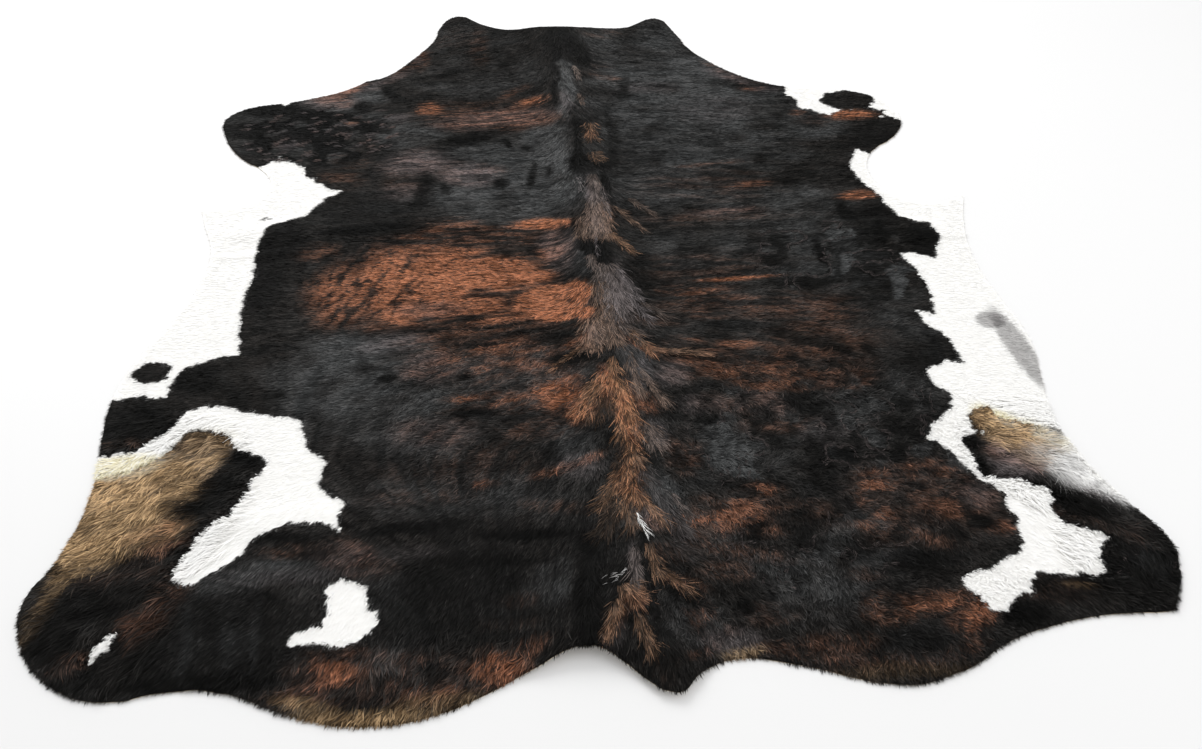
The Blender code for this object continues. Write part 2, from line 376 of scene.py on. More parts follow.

# %% [markdown]
# ## The soft tints of the brindle
# Brindle has no hard edges. Each colour of hair, and the slate grey with its painted sheen,
# has a table of soft ellipses with a strength, and a few more tables say where the coat is
# darker, lighter, faded or curly; the darker places include painted shade in creases.
# Where ellipses of one table overlap, the strongest counts. Noise that is drawn out along
# the hair later turns each of them into streaks.

# %% Soft tints of the brindle
# A row is x, y, half the width and half the height of an ellipse in millimetres, then its
# strength and, where the ellipse is turned, its turn in degrees.
Tint = namedtuple("Tint", "x y half_width half_height strength turn", defaults=(0,))
TINT_LENGTHS = 4             # the first columns are lengths
RED_BROWN = (
    # neck and shoulders
    (-695, 730, 70, 45, 0.85, 24), (-655, 762, 70, 36, 0.85, 40), (-790, 520, 30, 40, 0.35),
    (-500, 860, 130, 24, 0.45, 50), (-450, 910, 30, 60, 0.6), (-280, 980, 35, 120, 0.3),
    (-360, 1020, 60, 70, 0.15), (-440, 390, 90, 55, 0.65, 14), (-300, 340, 85, 55, 0.55, -12),
    (-410, 640, 40, 40, 0.85), (-240, 590, 190, 62, 0.78), (-165, 645, 105, 30, 0.85, 31),
    (-180, 725, 70, 18, 0.6, 34), (-280, 630, 190, 60, 0.34, 5), (-625, 600, 25, 25, 0.6),
    (-630, 340, 75, 45, 0.35), (-475, 295, 55, 50, 0.3), (-600, 420, 60, 50, 0.28),
    (95, 765, 30, 20, 0.5), (60, 810, 40, 60, 0.25), (80, 1030, 70, 30, 0.28),
    (430, 770, 70, 20, 0.5, -40), (490, 710, 45, 40, 0.55), (380, 830, 50, 16, 0.35, -50),
    (600, 565, 26, 20, 0.7), (630, 520, 50, 30, 0.22), (745, 545, 85, 28, 1),
    # left side
    (-120, 118, 100, 28, 1.2), (-330, 110, 130, 20, 0.6), (-415, 95, 65, 32, 0.6),
    (-240, 70, 130, 24, 0.6, -5), (-85, 25, 45, 75, 0.65), (-360, 35, 150, 32, 0.95, -6),
    (-580, -105, 85, 120, 0.8), (-480, -70, 100, 145, 0.92), (-360, -60, 120, 125, 1.2),
    (-240, -50, 130, 80, 1.2, -6), (-160, -75, 80, 45, 1.05, -10), (-300, -165, 160, 50, 0.95),
    (-100, -155, 105, 55, 1.5, 14), (-40, -125, 45, 35, 1.4, -30), (-200, -210, 110, 24, 0.85, 8),
    (-250, -235, 220, 25, 0.45), (-450, -215, 110, 28, 0.45),
    # left of the loins
    (-300, -270, 170, 32, 0.55), (-240, -340, 200, 85, 0.66), (-290, -445, 80, 17, 0.8, 2),
    (-220, -475, 130, 14, 0.6), (-185, -455, 60, 25, 0.65, 10), (-100, -450, 75, 55, 0.95, 30),
    (-60, -495, 55, 36, 0.95, 30), (-250, -670, 32, 14, 0.75), (-120, -650, 60, 14, 0.75, 16),
    (-50, -630, 40, 12, 0.75, 20), (-150, -540, 90, 40, 0.35), (-300, -620, 160, 65, 0.26),
    (-370, -700, 110, 30, 0.28), (-120, -740, 80, 20, 0.32, -10),
    # spine and tail
    (0, -430, 22, 60, 1.05, 10), (32, -520, 24, 110, 1), (22, -690, 28, 80, 0.75),
    (-20, -275, 26, 40, 0.7), (90, -320, 55, 18, 0.85, -35), (12, -955, 24, 26, 1),
    (-340, -1075, 120, 30, 0.42), (-20, -1010, 16, 60, 0.8, -38), (100, -925, 55, 14, 0.5, -20),
    (130, -995, 30, 35, 0.65), (150, -1035, 50, 18, 0.38), (80, -865, 45, 22, 0.4, -20),
    (55, -1100, 22, 30, 0.3), (120, -1070, 50, 14, 0.4, 20), (20, 490, 16, 25, 0.6),
    (20, 130, 35, 80, 0.4),
    # left rump
    (-535, -1060, 60, 45, 0.66), (-470, -1040, 70, 30, 0.5), (-520, -1100, 110, 26, 0.45),
    (-235, -1075, 60, 40, 0.95), (-350, -1110, 80, 26, 0.55), (-200, -1050, 65, 22, 0.65, 20),
    (-370, -1060, 50, 30, 0.42), (-200, -940, 32, 16, 0.55), (-220, -990, 60, 20, 0.28),
    (-470, -850, 65, 30, 0.32), (-600, -810, 90, 20, 0.35), (-840, -950, 50, 45, 0.8, 62),
    (-820, -890, 45, 30, 0.6, 20), (-950, -1015, 40, 26, 0.45), (-880, -865, 90, 50, 0.32),
    (-960, -525, 60, 16, 0.35),
    # right side
    (330, 340, 130, 14, 0.4, 5), (400, 245, 85, 18, 0.62, 6), (330, 145, 100, 20, 0.45),
    (680, 185, 60, 24, 0.95, 9), (300, 120, 220, 30, 0.26), (320, -115, 110, 10, 1, 2),
    (210, -145, 105, 20, 0.65), (270, -190, 150, 30, 0.45), (150, -230, 100, 36, 0.3),
    (400, -210, 200, 45, 0.4), (515, -300, 110, 130, 0.4), (450, -340, 170, 60, 0.42),
    (300, -400, 150, 40, 0.6), (220, -360, 110, 30, 0.68, -4), (365, -375, 40, 25, 0.6),
    (360, -440, 130, 36, 0.55), (500, -440, 90, 40, 0.48),
    # right rump
    (360, -560, 110, 30, 0.4), (130, -625, 50, 60, 0.42), (210, -770, 85, 48, 0.66),
    (285, -725, 55, 20, 0.65), (300, -780, 40, 40, 0.55), (120, -810, 45, 30, 0.5, -30),
    (200, -865, 130, 20, 0.42, -10), (495, -760, 50, 80, 0.64), (560, -700, 80, 26, 0.6, 14),
    (625, -790, 85, 45, 0.52), (640, -700, 70, 22, 0.55, -25), (570, -860, 65, 28, 0.48),
    (470, -830, 40, 14, 0.55), (370, -780, 50, 30, 0.35), (530, -990, 80, 25, 0.8, 2),
    (610, -985, 50, 26, 0.72, 10), (450, -985, 35, 18, 0.55), (575, -1035, 34, 32, 0.65),
    (440, -930, 35, 20, 0.3), (360, -1060, 70, 24, 0.42), (560, -1090, 55, 20, 0.45, 20),
    (300, -1080, 110, 18, 0.4, -10), (450, -1105, 130, 22, 0.34), (760, -985, 80, 30, 0.42),
    (850, -820, 70, 30, 0.3, -20), (930, -870, 55, 30, 0.32, -30), (180, -910, 60, 26, 0.36, -10),
    (240, -1000, 60, 24, 0.32), (145, -405, 50, 40, 0.4), (55, -790, 35, 30, 0.65),
    (320, -505, 60, 40, 0.55), (685, -765, 50, 40, 0.5), (605, -1020, 50, 28, 0.9),
    (270, -810, 60, 32, 0.72), (400, -425, 70, 30, 0.68), (100, -795, 40, 30, 0.55),
    (450, -1010, 50, 28, 0.6), (160, -315, 60, 28, 0.58), (560, -790, 170, 100, 0.36),
    (210, -495, 60, 30, 0.35), (300, 250, 200, 80, 0.24), (230, -60, 200, 60, 0.26),
    # left of the spine
    (-100, -200, 80, 35, 1.25), (-45, -205, 40, 30, 1.1), (-45, -302, 40, 30, 0.75),
    (-175, -470, 70, 30, 0.68), (-95, 10, 45, 55, 0.8), (-365, -370, 80, 30, 0.58),
    (-355, -535, 90, 50, 0.5), (-510, -820, 60, 35, 0.52), (-490, -1065, 65, 35, 0.85),
    (-655, 50, 60, 40, 0.5), (-300, 85, 200, 45, 0.5), (-660, 700, 50, 35, 0.6),
    (-435, -175, 80, 45, 1), (290, -325, 60, 30, 0.6), (-350, 138, 90, 28, 0.6),
    (160, -800, 60, 30, 0.72), (235, -225, 70, 30, 0.45), (800, -688, 60, 30, 0.8, -20),
    (940, -885, 60, 14, 0.55, -35), (890, -860, 50, 14, 0.45, -35), (74, -487, 40, 32, 0.7),
    (714, -840, 35, 24, 0.85),
    # right hind leg's pale patch, and the left one's
    (780, -650, 50, 45, 0.55, -20), (850, -670, 50, 40, 0.35, -25), (745, -575, 20, 30, 0.55, -30),
    (-865, -745, 70, 30, 0.85, 12), (-850, -785, 60, 34, 0.5, 23), (-900, -765, 70, 16, 0.5, 5),
    (-840, -655, 30, 14, 0.55), (-880, -640, 60, 20, 0.35, 20),
)
# Slate grey: partly slate-grey hair and partly painted sheen, the light's reflection on the black
# coat.
SLATE_AND_SHEEN = (
    (-550, -280, 140, 50, 1), (-545, -390, 170, 140, 1), (-415, -275, 40, 40, 0.8),
    (-620, -500, 90, 70, 0.65), (-400, -550, 120, 70, 0.5), (-90, -590, 75, 48, 0.85),
    (-220, -400, 200, 120, 0.5), (-35, -20, 32, 55, 0.9), (-170, 300, 180, 180, 1),
    (-105, 450, 70, 130, 1), (-300, 220, 130, 90, 0.8), (-275, 440, 130, 40, 0.9),
    (-450, 520, 95, 55, 0.95), (-580, 740, 50, 65, 0.9), (-850, 480, 60, 22, 0.6),
    (-720, 700, 55, 30, 0.6), (-680, 600, 140, 100, 0.6), (-700, 470, 110, 60, 0.5),
    (-900, 600, 80, 80, 0.45), (-280, 800, 180, 110, 0.34), (-300, 1000, 140, 110, 0.3),
    (-40, 750, 28, 170, 1), (300, 600, 290, 150, 1), (240, 800, 220, 120, 1.1),
    (250, 960, 100, 130, 0.8), (100, 950, 110, 130, 0.45), (300, 420, 270, 120, 0.75),
    (200, 280, 220, 140, 0.6), (450, 150, 220, 90, 0.5), (500, -30, 200, 110, 0.5),
    (250, 0, 160, 80, 0.45), (600, 510, 120, 80, 0.8), (230, -620, 65, 85, 0.7, 20),
    (70, -360, 30, 50, 0.8, 30), (90, -740, 40, 80, 0.85, 25), (450, -520, 130, 70, 0.5),
    (620, -500, 90, 90, 0.45), (650, -350, 90, 110, 0.35), (330, -945, 120, 85, 0.48),
    (100, -850, 30, 22, 0.7), (100, -1000, 60, 80, 0.4), (500, -1070, 70, 45, 0.5),
    (-620, -850, 130, 30, 0.6), (-760, -960, 35, 80, 0.32), (-400, -980, 60, 50, 0.3),
    (-400, -1050, 70, 35, 0.4), (-300, -700, 220, 55, 0.4), (-685, -990, 30, 90, 0.45),
    (-440, -900, 60, 60, 0.3), (300, -720, 420, 300, 0.12), (350, -200, 350, 200, 0.15),
    (-715, -872, 70, 35, 0.85), (-420, -455, 80, 55, 0.75), (-768, -980, 10, 80, 0.9, 6),
    (-700, -985, 14, 80, 0.8, 6), (-648, -988, 10, 75, 0.9, 6), (520, 200, 80, 50, 0.7),
    (-460, 225, 110, 50, 0.5), (-130, -910, 50, 50, 0.9),
)
GREY_HAIR = (
    # neck and shoulders
    (-790, 520, 38, 48, 0.8), (-440, 390, 95, 60, 0.7, 10), (-300, 335, 85, 55, 0.65, -12),
    (-715, 708, 60, 36, 0.6), (-650, 762, 60, 30, 0.35, 40), (-495, 600, 40, 25, 0.4),
    (-660, 565, 35, 19, 0.5, 32), (-230, 590, 170, 50, 0.34, 8), (-560, 800, 110, 22, 0.5, 35),
    (-470, 930, 22, 60, 0.32, 25), (440, 760, 80, 22, 0.6, -38), (520, 700, 45, 30, 0.4),
    (360, 600, 120, 70, 0.22), (200, 720, 90, 35, 0.25),
    # spine
    (-42, 660, 18, 60, 0.35, -3), (12, 240, 14, 80, 0.7, 2), (14, 120, 28, 60, 0.65),
    (-85, 25, 45, 75, 0.45), (42, -130, 30, 100, 0.65, 5), (30, -230, 26, 60, 0.5),
    (-20, -265, 24, 36, 0.65), (75, -400, 26, 70, 0.5, -20), (75, -570, 26, 40, 0.5),
    (17, -890, 10, 45, 0.5),
    # sides and legs
    (-375, -325, 45, 22, 0.4), (-600, -862, 130, 20, 0.24), (-400, -830, 90, 20, 0.18),
    (-380, -175, 90, 32, 0.24), (330, 145, 100, 20, 0.25), (835, -665, 90, 60, 0.85, -25),
    (790, -700, 60, 35, 0.8), (930, -720, 100, 70, 0.8, -30), (-810, -555, 50, 40, 0.5),
    (-790, -620, 30, 30, 0.4), (145, -405, 45, 40, 0.45), (50, -790, 35, 28, 0.45),
    (320, -505, 55, 35, 0.32), (-356, -540, 90, 50, 0.25), (690, -765, 45, 38, 0.32),
    (170, -1052, 55, 30, 0.4), (-510, -820, 60, 30, 0.26), (-660, 698, 50, 35, 0.45),
    (-60, -640, 50, 32, 0.35), (200, -495, 55, 30, 0.3), (-460, 268, 70, 40, 0.3),
    (-365, -370, 70, 30, 0.25), (-30, -1040, 25, 28, 0.35), (-465, -272, 80, 38, 0.32),
    (428, -592, 50, 40, 0.25),
)
GOLD = (
    # left hind leg
    (-980, -640, 70, 45, 1.25), (-930, -690, 100, 100, 0.95, 20), (-850, -625, 75, 65, 0.85, 20),
    (-970, -770, 75, 60, 1, 20), (-860, -730, 55, 45, 0.42, 10), (-815, -545, 55, 45, 0.65),
    (-990, -590, 80, 25, 0.8), (-900, -600, 60, 35, 1.1, 30), (-975, -815, 70, 28, 0.65, 38),
    (-1010, -870, 80, 15, 0.36, 55), (-1035, -930, 55, 15, 0.2, 72),
    # right hind leg
    (790, -590, 50, 30, 1.3, -28), (752, -570, 26, 36, 0.75, -20), (840, -622, 75, 36, 0.85, -25),
    (820, -670, 50, 35, 0.28, -20),
    # rear rims
    (-450, -1146, 130, 14, 0.7), (-550, -1125, 55, 14, 0.48, -14), (-340, -1128, 90, 16, 0.26, 8),
    (440, -1122, 150, 15, 0.11), (180, -1068, 40, 12, 0.45, 10), (-795, -588, 28, 40, 0.7),
    (778, -628, 50, 32, 0.8, -25), (800, -975, 35, 6, 0.55, -10),
)
# Darker places: black hair, and painted shade in creases, such as the thin bands across the left
# rump and the right side and the line beside the tail.
DARK = (
    # neck, spine and tail
    (-35, 990, 60, 95, 0.95), (20, 880, 20, 35, 1), (-65, 745, 9, 110, 0.9), (-5, 550, 16, 32, 1),
    (-12, 460, 9, 60, 0.8), (-15, 375, 26, 50, 1), (35, 360, 20, 20, 0.9), (75, 475, 16, 200, 0.6),
    (125, 730, 20, 65, 0.6), (52, 280, 12, 60, 0.9), (-70, 100, 12, 18, 0.6),
    (-33, 110, 14, 22, 0.9), (-12, 30, 16, 30, 1), (20, 10, 15, 42, 1), (90, -50, 30, 60, 0.6, -20),
    (110, -110, 30, 50, 0.55), (-70, -342, 50, 18, 1, 7), (33, -520, 12, 18, 0.6),
    (-60, -830, 28, 40, 1, 42), (-74, -925, 22, 70, 1), (-77, -1030, 22, 55, 1),
    (-50, -950, 70, 170, 0.5), (47, -930, 7, 130, 0.9, 3), (115, -965, 18, 11, 1),
    (200, -985, 20, 22, 0.95), (125, -640, 20, 30, 0.5),
    # left front
    (-850, 670, 105, 35, 1), (-895, 575, 80, 40, 0.8), (-525, 730, 65, 18, 1, -52),
    (-600, 668, 34, 32, 0.9), (-300, 495, 85, 30, 1, 10), (-205, 475, 14, 30, 0.9),
    (-150, 445, 22, 14, 0.9, -21), (-215, 300, 22, 28, 0.95), (-145, 320, 12, 75, 0.85),
    (-100, 340, 12, 24, 0.7), (-420, 265, 80, 26, 0.7, 77), (-355, 275, 18, 20, 0.8),
    (-570, 205, 120, 60, 0.5), (-550, 125, 120, 20, 1, 1), (-440, 130, 45, 22, 0.75),
    (-700, 320, 50, 50, 0.4), (-740, 90, 80, 80, 0.7), (-760, -20, 60, 160, 0.6),
    # left rear
    (-860, -360, 60, 50, 0.8), (-700, -410, 32, 16, 0.7, 10), (-465, -378, 24, 13, 0.95),
    (-305, -387, 20, 13, 0.95), (-275, -487, 60, 14, 0.95), (-105, -285, 50, 20, 0.7),
    (-500, -345, 40, 10, 0.4), (-300, -280, 60, 20, 0.5), (-120, -600, 20, 32, 0.6),
    (-950, -470, 80, 50, 0.7), (-390, -775, 110, 15, 1, 4), (-180, -802, 100, 16, 1),
    (-230, -862, 90, 13, 0.8), (-620, -780, 80, 12, 0.7), (-915, -895, 100, 50, 0.9, 9),
    (-720, -990, 180, 110, 0.62), (-300, -930, 200, 100, 0.62), (-720, -1070, 180, 26, 0.9),
    (-725, -585, 32, 28, 1), (-760, -645, 50, 30, 1, 63), (-785, -700, 48, 26, 0.95, 16),
    (-830, -690, 28, 35, 0.45), (-880, -815, 50, 22, 0.5, 10), (-635, -1000, 20, 90, 0.75),
    # right
    (700, 90, 100, 60, 0.55), (780, 10, 50, 50, 0.75), (625, 115, 22, 55, 1),
    (690, 30, 22, 45, 0.9), (540, -25, 15, 58, 0.85), (685, -45, 75, 40, 0.5),
    (625, -110, 50, 40, 0.6, 20), (195, -40, 20, 70, 0.35), (535, -905, 65, 28, 0.9),
    (680, -825, 32, 18, 1, -23), (360, -860, 60, 20, 0.6), (420, -870, 40, 26, 0.6),
    (400, -650, 28, 36, 0.6), (455, -655, 30, 24, 0.9), (690, -1030, 50, 30, 1),
    (590, -595, 65, 26, 0.7), (680, -590, 45, 45, 0.75), (670, -420, 60, 60, 0.5),
    (400, -672, 45, 14, 0.5), (330, -700, 40, 24, 0.4), (620, -850, 30, 22, 0.6),
    (390, -720, 30, 40, 0.6), (300, 80, 260, 5, 0.5), (660, 25, 100, 6, 0.9),
    (712, -635, 24, 24, 1), (718, -700, 24, 26, 1), (950, -945, 110, 95, 0.72),
    (870, -800, 80, 35, 1, -38), (780, -985, 80, 30, 0.55), (60, -1080, 40, 50, 0.45),
    (660, -160, 50, 60, 0.5), (780, 450, 80, 50, 0.6, 20), (-1000, -960, 50, 70, 0.7),
    (-920, -1050, 60, 30, 0.7), (-336, -1072, 32, 22, 0.8), (484, -1070, 65, 30, 0.7),
    (-568, -817, 45, 22, 0.55),
)
# Lighter places: lighter hair, and where they lie over the slate grey they brighten its painted
# sheen.
LIGHT = (
    # neck and shoulders
    (-425, 525, 100, 50, 0.75), (-580, 740, 40, 55, 0.5), (-40, 750, 26, 170, 0.9),
    (-440, 390, 90, 55, 0.8, 10), (-300, 335, 85, 55, 0.6, -12), (-690, 730, 80, 45, 1.2, 24),
    (-655, 762, 70, 36, 0.9, 40), (-790, 520, 34, 44, 0.4), (-80, 400, 70, 150, 0.5),
    (-150, 280, 150, 120, 0.3), (-170, 640, 120, 40, 0.45, 30), (-250, 590, 180, 55, 0.4),
    (220, 800, 150, 140, 0.38),
    # spine
    (18, 150, 26, 80, 0.7), (50, -140, 28, 90, 0.6), (-20, -265, 26, 40, 0.6),
    (75, -570, 30, 40, 0.35), (15, -400, 60, 120, 0.25),
    # left side
    (-95, -155, 95, 55, 1.6, 16), (-310, -45, 190, 120, 0.55), (-580, -85, 110, 125, 0.12),
    (-85, 25, 45, 75, 0.4), (-545, -380, 160, 120, 0.22), (-250, -340, 200, 100, 0.25),
    (-600, 620, 150, 90, 0.4),
    # left hind leg
    (-980, -640, 60, 40, 1.6), (-960, -700, 70, 40, 0.9), (-915, -615, 45, 30, 0.65, 30),
    (-935, -755, 80, 25, 0.6, 5),
    # right rump and hind leg
    (210, -770, 85, 50, 0.55), (255, -640, 30, 50, 0.4), (780, -588, 50, 28, 1.6, -28),
    (840, -640, 80, 50, 0.95, -25), (900, -700, 80, 70, 1.3, -30), (550, -990, 100, 26, 0.35),
    (500, -760, 50, 70, 0.3), (145, -405, 50, 40, 0.8), (50, -790, 45, 38, 1.5),
    (320, -505, 65, 40, 1.15), (-356, -540, 90, 50, 0.65), (690, -765, 55, 42, 0.6),
    (170, -1052, 60, 30, 0.5), (605, -1020, 50, 28, 0.4), (270, -810, 60, 32, 0.5),
    (200, -495, 60, 32, 0.55), (400, -425, 75, 34, 0.75), (100, -795, 40, 30, 0.45),
    (160, -315, 60, 30, 0.45), (778, -628, 45, 30, 1.1, -25), (450, -1010, 50, 28, 0.4),
    # beside the spine
    (-100, -200, 80, 36, 1.2), (-45, -205, 40, 32, 1.1), (-45, -302, 45, 32, 0.95),
    (-60, -640, 50, 32, 0.45), (25, -306, 25, 30, 0.8), (-95, 10, 45, 55, 1),
    (-140, 122, 100, 32, 1.05), (-240, -90, 120, 50, 1.1), (-30, -1040, 30, 30, 0.55),
    (-365, -370, 80, 32, 0.45), (-395, -455, 95, 55, 0.45), (-260, -1075, 80, 40, 0.5),
    (-490, -1065, 65, 35, 0.35), (-510, -820, 60, 30, 0.6), (-715, -872, 70, 34, 0.4),
    (-475, 535, 80, 45, 1), (-655, 696, 50, 36, 1.1), (-460, 268, 80, 40, 0.4),
    (-840, -562, 60, 30, 0.6), (-985, -650, 50, 60, 1.9), (-437, -178, 70, 35, 0.6),
    (-868, -659, 50, 35, 0.55), (-812, -655, 35, 35, 0.6), (-780, -590, 45, 42, 0.95),
    (-465, -272, 80, 36, 0.5), (286, -323, 60, 30, 0.5), (385, -132, 90, 40, 0.5),
    (-350, 138, 90, 28, 0.5), (353, -665, 50, 35, 0.6), (428, -592, 50, 40, 0.5),
    (157, -798, 50, 30, 0.5), (233, -224, 70, 32, 0.4), (-312, 257, 80, 40, 0.45),
    (943, -860, 60, 50, 0.6), (518, 202, 80, 50, 0.35), (-640, 545, 50, 40, 0.3),
    (810, -685, 70, 35, 1.1, -20), (-60, -700, 60, 35, 0.5), (-170, -465, 80, 40, 0.6),
    (70, -420, 50, 60, 0.4), (-128, -911, 60, 50, 0.6), (30, -306, 40, 35, 0.5),
    (74, -487, 45, 35, 0.55), (320, 95, 190, 32, 0.38), (712, -838, 35, 26, 0.6),
    (-825, -870, 40, 28, 0.6), (-195, -230, 70, 30, 0.4), (205, -405, 70, 36, 0.6),
)
FADED = (
    (975, -705, 90, 80, 1.25, -35), (930, -665, 55, 45, 0.85, -30), (880, -635, 50, 34, 0.55, -25),
    (900, -715, 60, 45, 0.85, -30), (935, -762, 70, 20, 0.9, -38), (850, -675, 45, 34, 0.22, -20),
    (790, -595, 30, 18, 0.22, -30), (-990, -600, 70, 16, 0.5), (-900, -592, 50, 16, 0.3, 35),
)
CURLINESS = (
    (420, -650, 420, 300, 1), (300, -960, 360, 160, 0.7), (-160, -450, 260, 200, 0.5),
    (-880, -700, 160, 220, 0.9), (850, -670, 150, 150, 0.85), (20, -550, 110, 550, 0.6),
    (-360, -1080, 320, 80, 0.6), (450, -220, 320, 160, 0.35), (-930, -950, 130, 130, 0.6),
    (-500, -850, 220, 50, 0.4), (930, -920, 120, 140, 0.7),
)
TINTS = {
    "red": RED_BROWN, "slate": SLATE_AND_SHEEN, "grey": GREY_HAIR, "gold": GOLD, "dark": DARK,
    "light": LIGHT, "faded": FADED, "curly": CURLINESS,
}
print("tints:", sum(len(rows) for rows in TINTS.values()))

# %% Chart each tint
TINT_SEEDS = dict(red=21, slate=31, grey=41, gold=51, dark=57, curly=59, light=101, faded=103)
STRAY_X = 0.014              # how far noise pulls an ellipse out of true, each way
STRAY_Y = 0.007
TINT_EDGE = Ramp(-0.35, 0.55)
SPOT_EDGE = Ramp(-0.1, 0.3)


def in_metres(kind, row, lengths):
    """A row of a table by the names of its columns, the first few of them made metres."""
    return kind(*(value / MILLIMETRES for value in row[:lengths]), *row[lengths:])


def tint_chart(rows, seed):
    """Strength of one tint over the chart, with the ellipses pulled out of true."""
    x = chart_x + STRAY_X * blotches(chart_x, chart_y, 0.07, seed, stretch=1.6)
    y = chart_y + STRAY_Y * blotches(chart_x, chart_y, 0.05, seed + 1, stretch=1.6)
    strength = np.zeros(chart_x.shape)
    for row in rows:
        tint = in_metres(Tint, row, TINT_LENGTHS)
        grown = smooth_step(spot_share(tint, x, y), *TINT_EDGE)
        strength = np.maximum(strength, tint.strength * grown)
    return strength


tint_charts = {name: tint_chart(rows, TINT_SEEDS[name]) for name, rows in TINTS.items()}


def tint_at(name, x, y):
    """Strength of one tint at each place."""
    return read_chart(tint_charts[name], x, y)


def curly_at(x, y):
    """How curly the coat is at each place, from 0 to 1."""
    return np.clip(tint_at("curly", x, y), 0, 1)


def inside_spot(spot, x, y):
    """1 inside a spot and 0 outside it, with a soft rim."""
    return smooth_step(spot_share(spot, x, y), *SPOT_EDGE)


print("charts:", ", ".join(tint_charts))

# %% [markdown]
# ## How the coat lies
# Cattle hair lies flat and points away from the spine, first out to the sides and further
# back more and more towards the tail. The table gives that turn towards the tail, in
# degrees, at three places across the hide for a few places along it. The ridge is the line
# on which the hair parts, a little off the straight spine. Swirls then bend the lie: a
# little on the smooth front, and a lot on the curly rump.

# %% Direction of the hair
Lie = namedtuple("Lie", "y at_spine at_ribs at_edge")
LIE = (
    Lie(-1.15, 86, 80, 60), Lie(-0.90, 82, 66, 42), Lie(-0.60, 74, 30, 24),
    Lie(-0.30, 68, 6, 6), Lie(0.00, 66, 0, 0), Lie(0.40, 66, 4, 0), Lie(0.80, 72, 14, 6),
    Lie(1.15, 78, 40, 30),
)
Ridge = namedtuple("Ridge", "y x")
RIDGE = (
    Ridge(-1.15, 0.058), Ridge(-0.90, 0.038), Ridge(-0.70, 0.028), Ridge(-0.40, 0.020),
    Ridge(-0.20, 0.020), Ridge(0.00, 0.002), Ridge(0.20, 0.010), Ridge(0.36, -0.015),
    Ridge(0.55, -0.020), Ridge(0.75, -0.045), Ridge(0.95, -0.055), Ridge(1.15, -0.060),
)
RIDGE_Y = [point.y for point in RIDGE]
RIDGE_X = [point.x for point in RIDGE]
RIBS_FROM_SPINE = 0.16
EDGE_FROM_SPINE = 0.90
Swirl = namedtuple("Swirl", "sleek added_where_curly size seed")    # degrees, and metres
SWIRLS = (Swirl(6, 34, 0.085, 71), Swirl(5, 34, 0.030, 72))


def hair_turn(away, y):
    """Turn of the hair towards the tail, in radians, by its distance from the ridge."""
    rows = [row.y for row in LIE]
    at_spine = np.interp(y, rows, [row.at_spine for row in LIE])
    at_ribs = np.interp(y, rows, [row.at_ribs for row in LIE])
    at_edge = np.interp(y, rows, [row.at_edge for row in LIE])
    to_ribs = smooth_step(np.abs(away), 0.0, RIBS_FROM_SPINE)
    to_edge = smooth_step(np.abs(away), RIBS_FROM_SPINE, EDGE_FROM_SPINE)
    turn = at_spine + (at_ribs - at_spine) * to_ribs + (at_edge - at_ribs) * to_edge
    return np.radians(turn)


def hair_angle(x, y):
    """The way hair points at each place, in radians from +X."""
    away = x - np.interp(y, RIDGE_Y, RIDGE_X)
    curly = curly_at(x, y)
    bent = sum((swirl.sleek + swirl.added_where_curly * curly)
               * blotches(x, y, swirl.size, swirl.seed, stretch=1.5) for swirl in SWIRLS)
    turn = hair_turn(away, y) + np.radians(bent)
    return np.where(away < 0, np.pi + turn, -turn)


# %% [markdown]
# ## The colour of each hair
# A hair takes its colour from a place near its root. Red-brown shows where the
# tint and the streaks together are strong enough, so a strong tint is nearly solid and a
# weak one leaves only a few lines. The streaks run with the hair: along the lines on which
# it flows from the spine. On the left flank they stand up like flames, and on the rump
# they are short and curly.

# %% Lines along which the coat flows from the spine
STEEPEST_FALL = 72           # degrees: hair that points closer to the tail counts as this


def flow_lines():
    """Where on the spine's length the hair line through each point of the chart starts."""
    away = chart_x - np.interp(chart_y, RIDGE_Y, RIDGE_X)
    outward = np.abs(np.tan(np.minimum(hair_turn(away, chart_y), math.radians(STEEPEST_FALL))))
    lines = chart_y.copy()
    for side in (-1, 1):
        there = (away * side > 0) * outward * CHART_STEP
        if side < 0:
            fallen = np.cumsum(there[:, ::-1], axis=1)[:, ::-1]
        else:
            fallen = np.cumsum(there, axis=1)
        lines += fallen * (away * side > 0)
    return lines


flow_chart = flow_lines()
print("the coat falls up to", round(float((flow_chart - chart_y).max()), 2), "m behind its root")

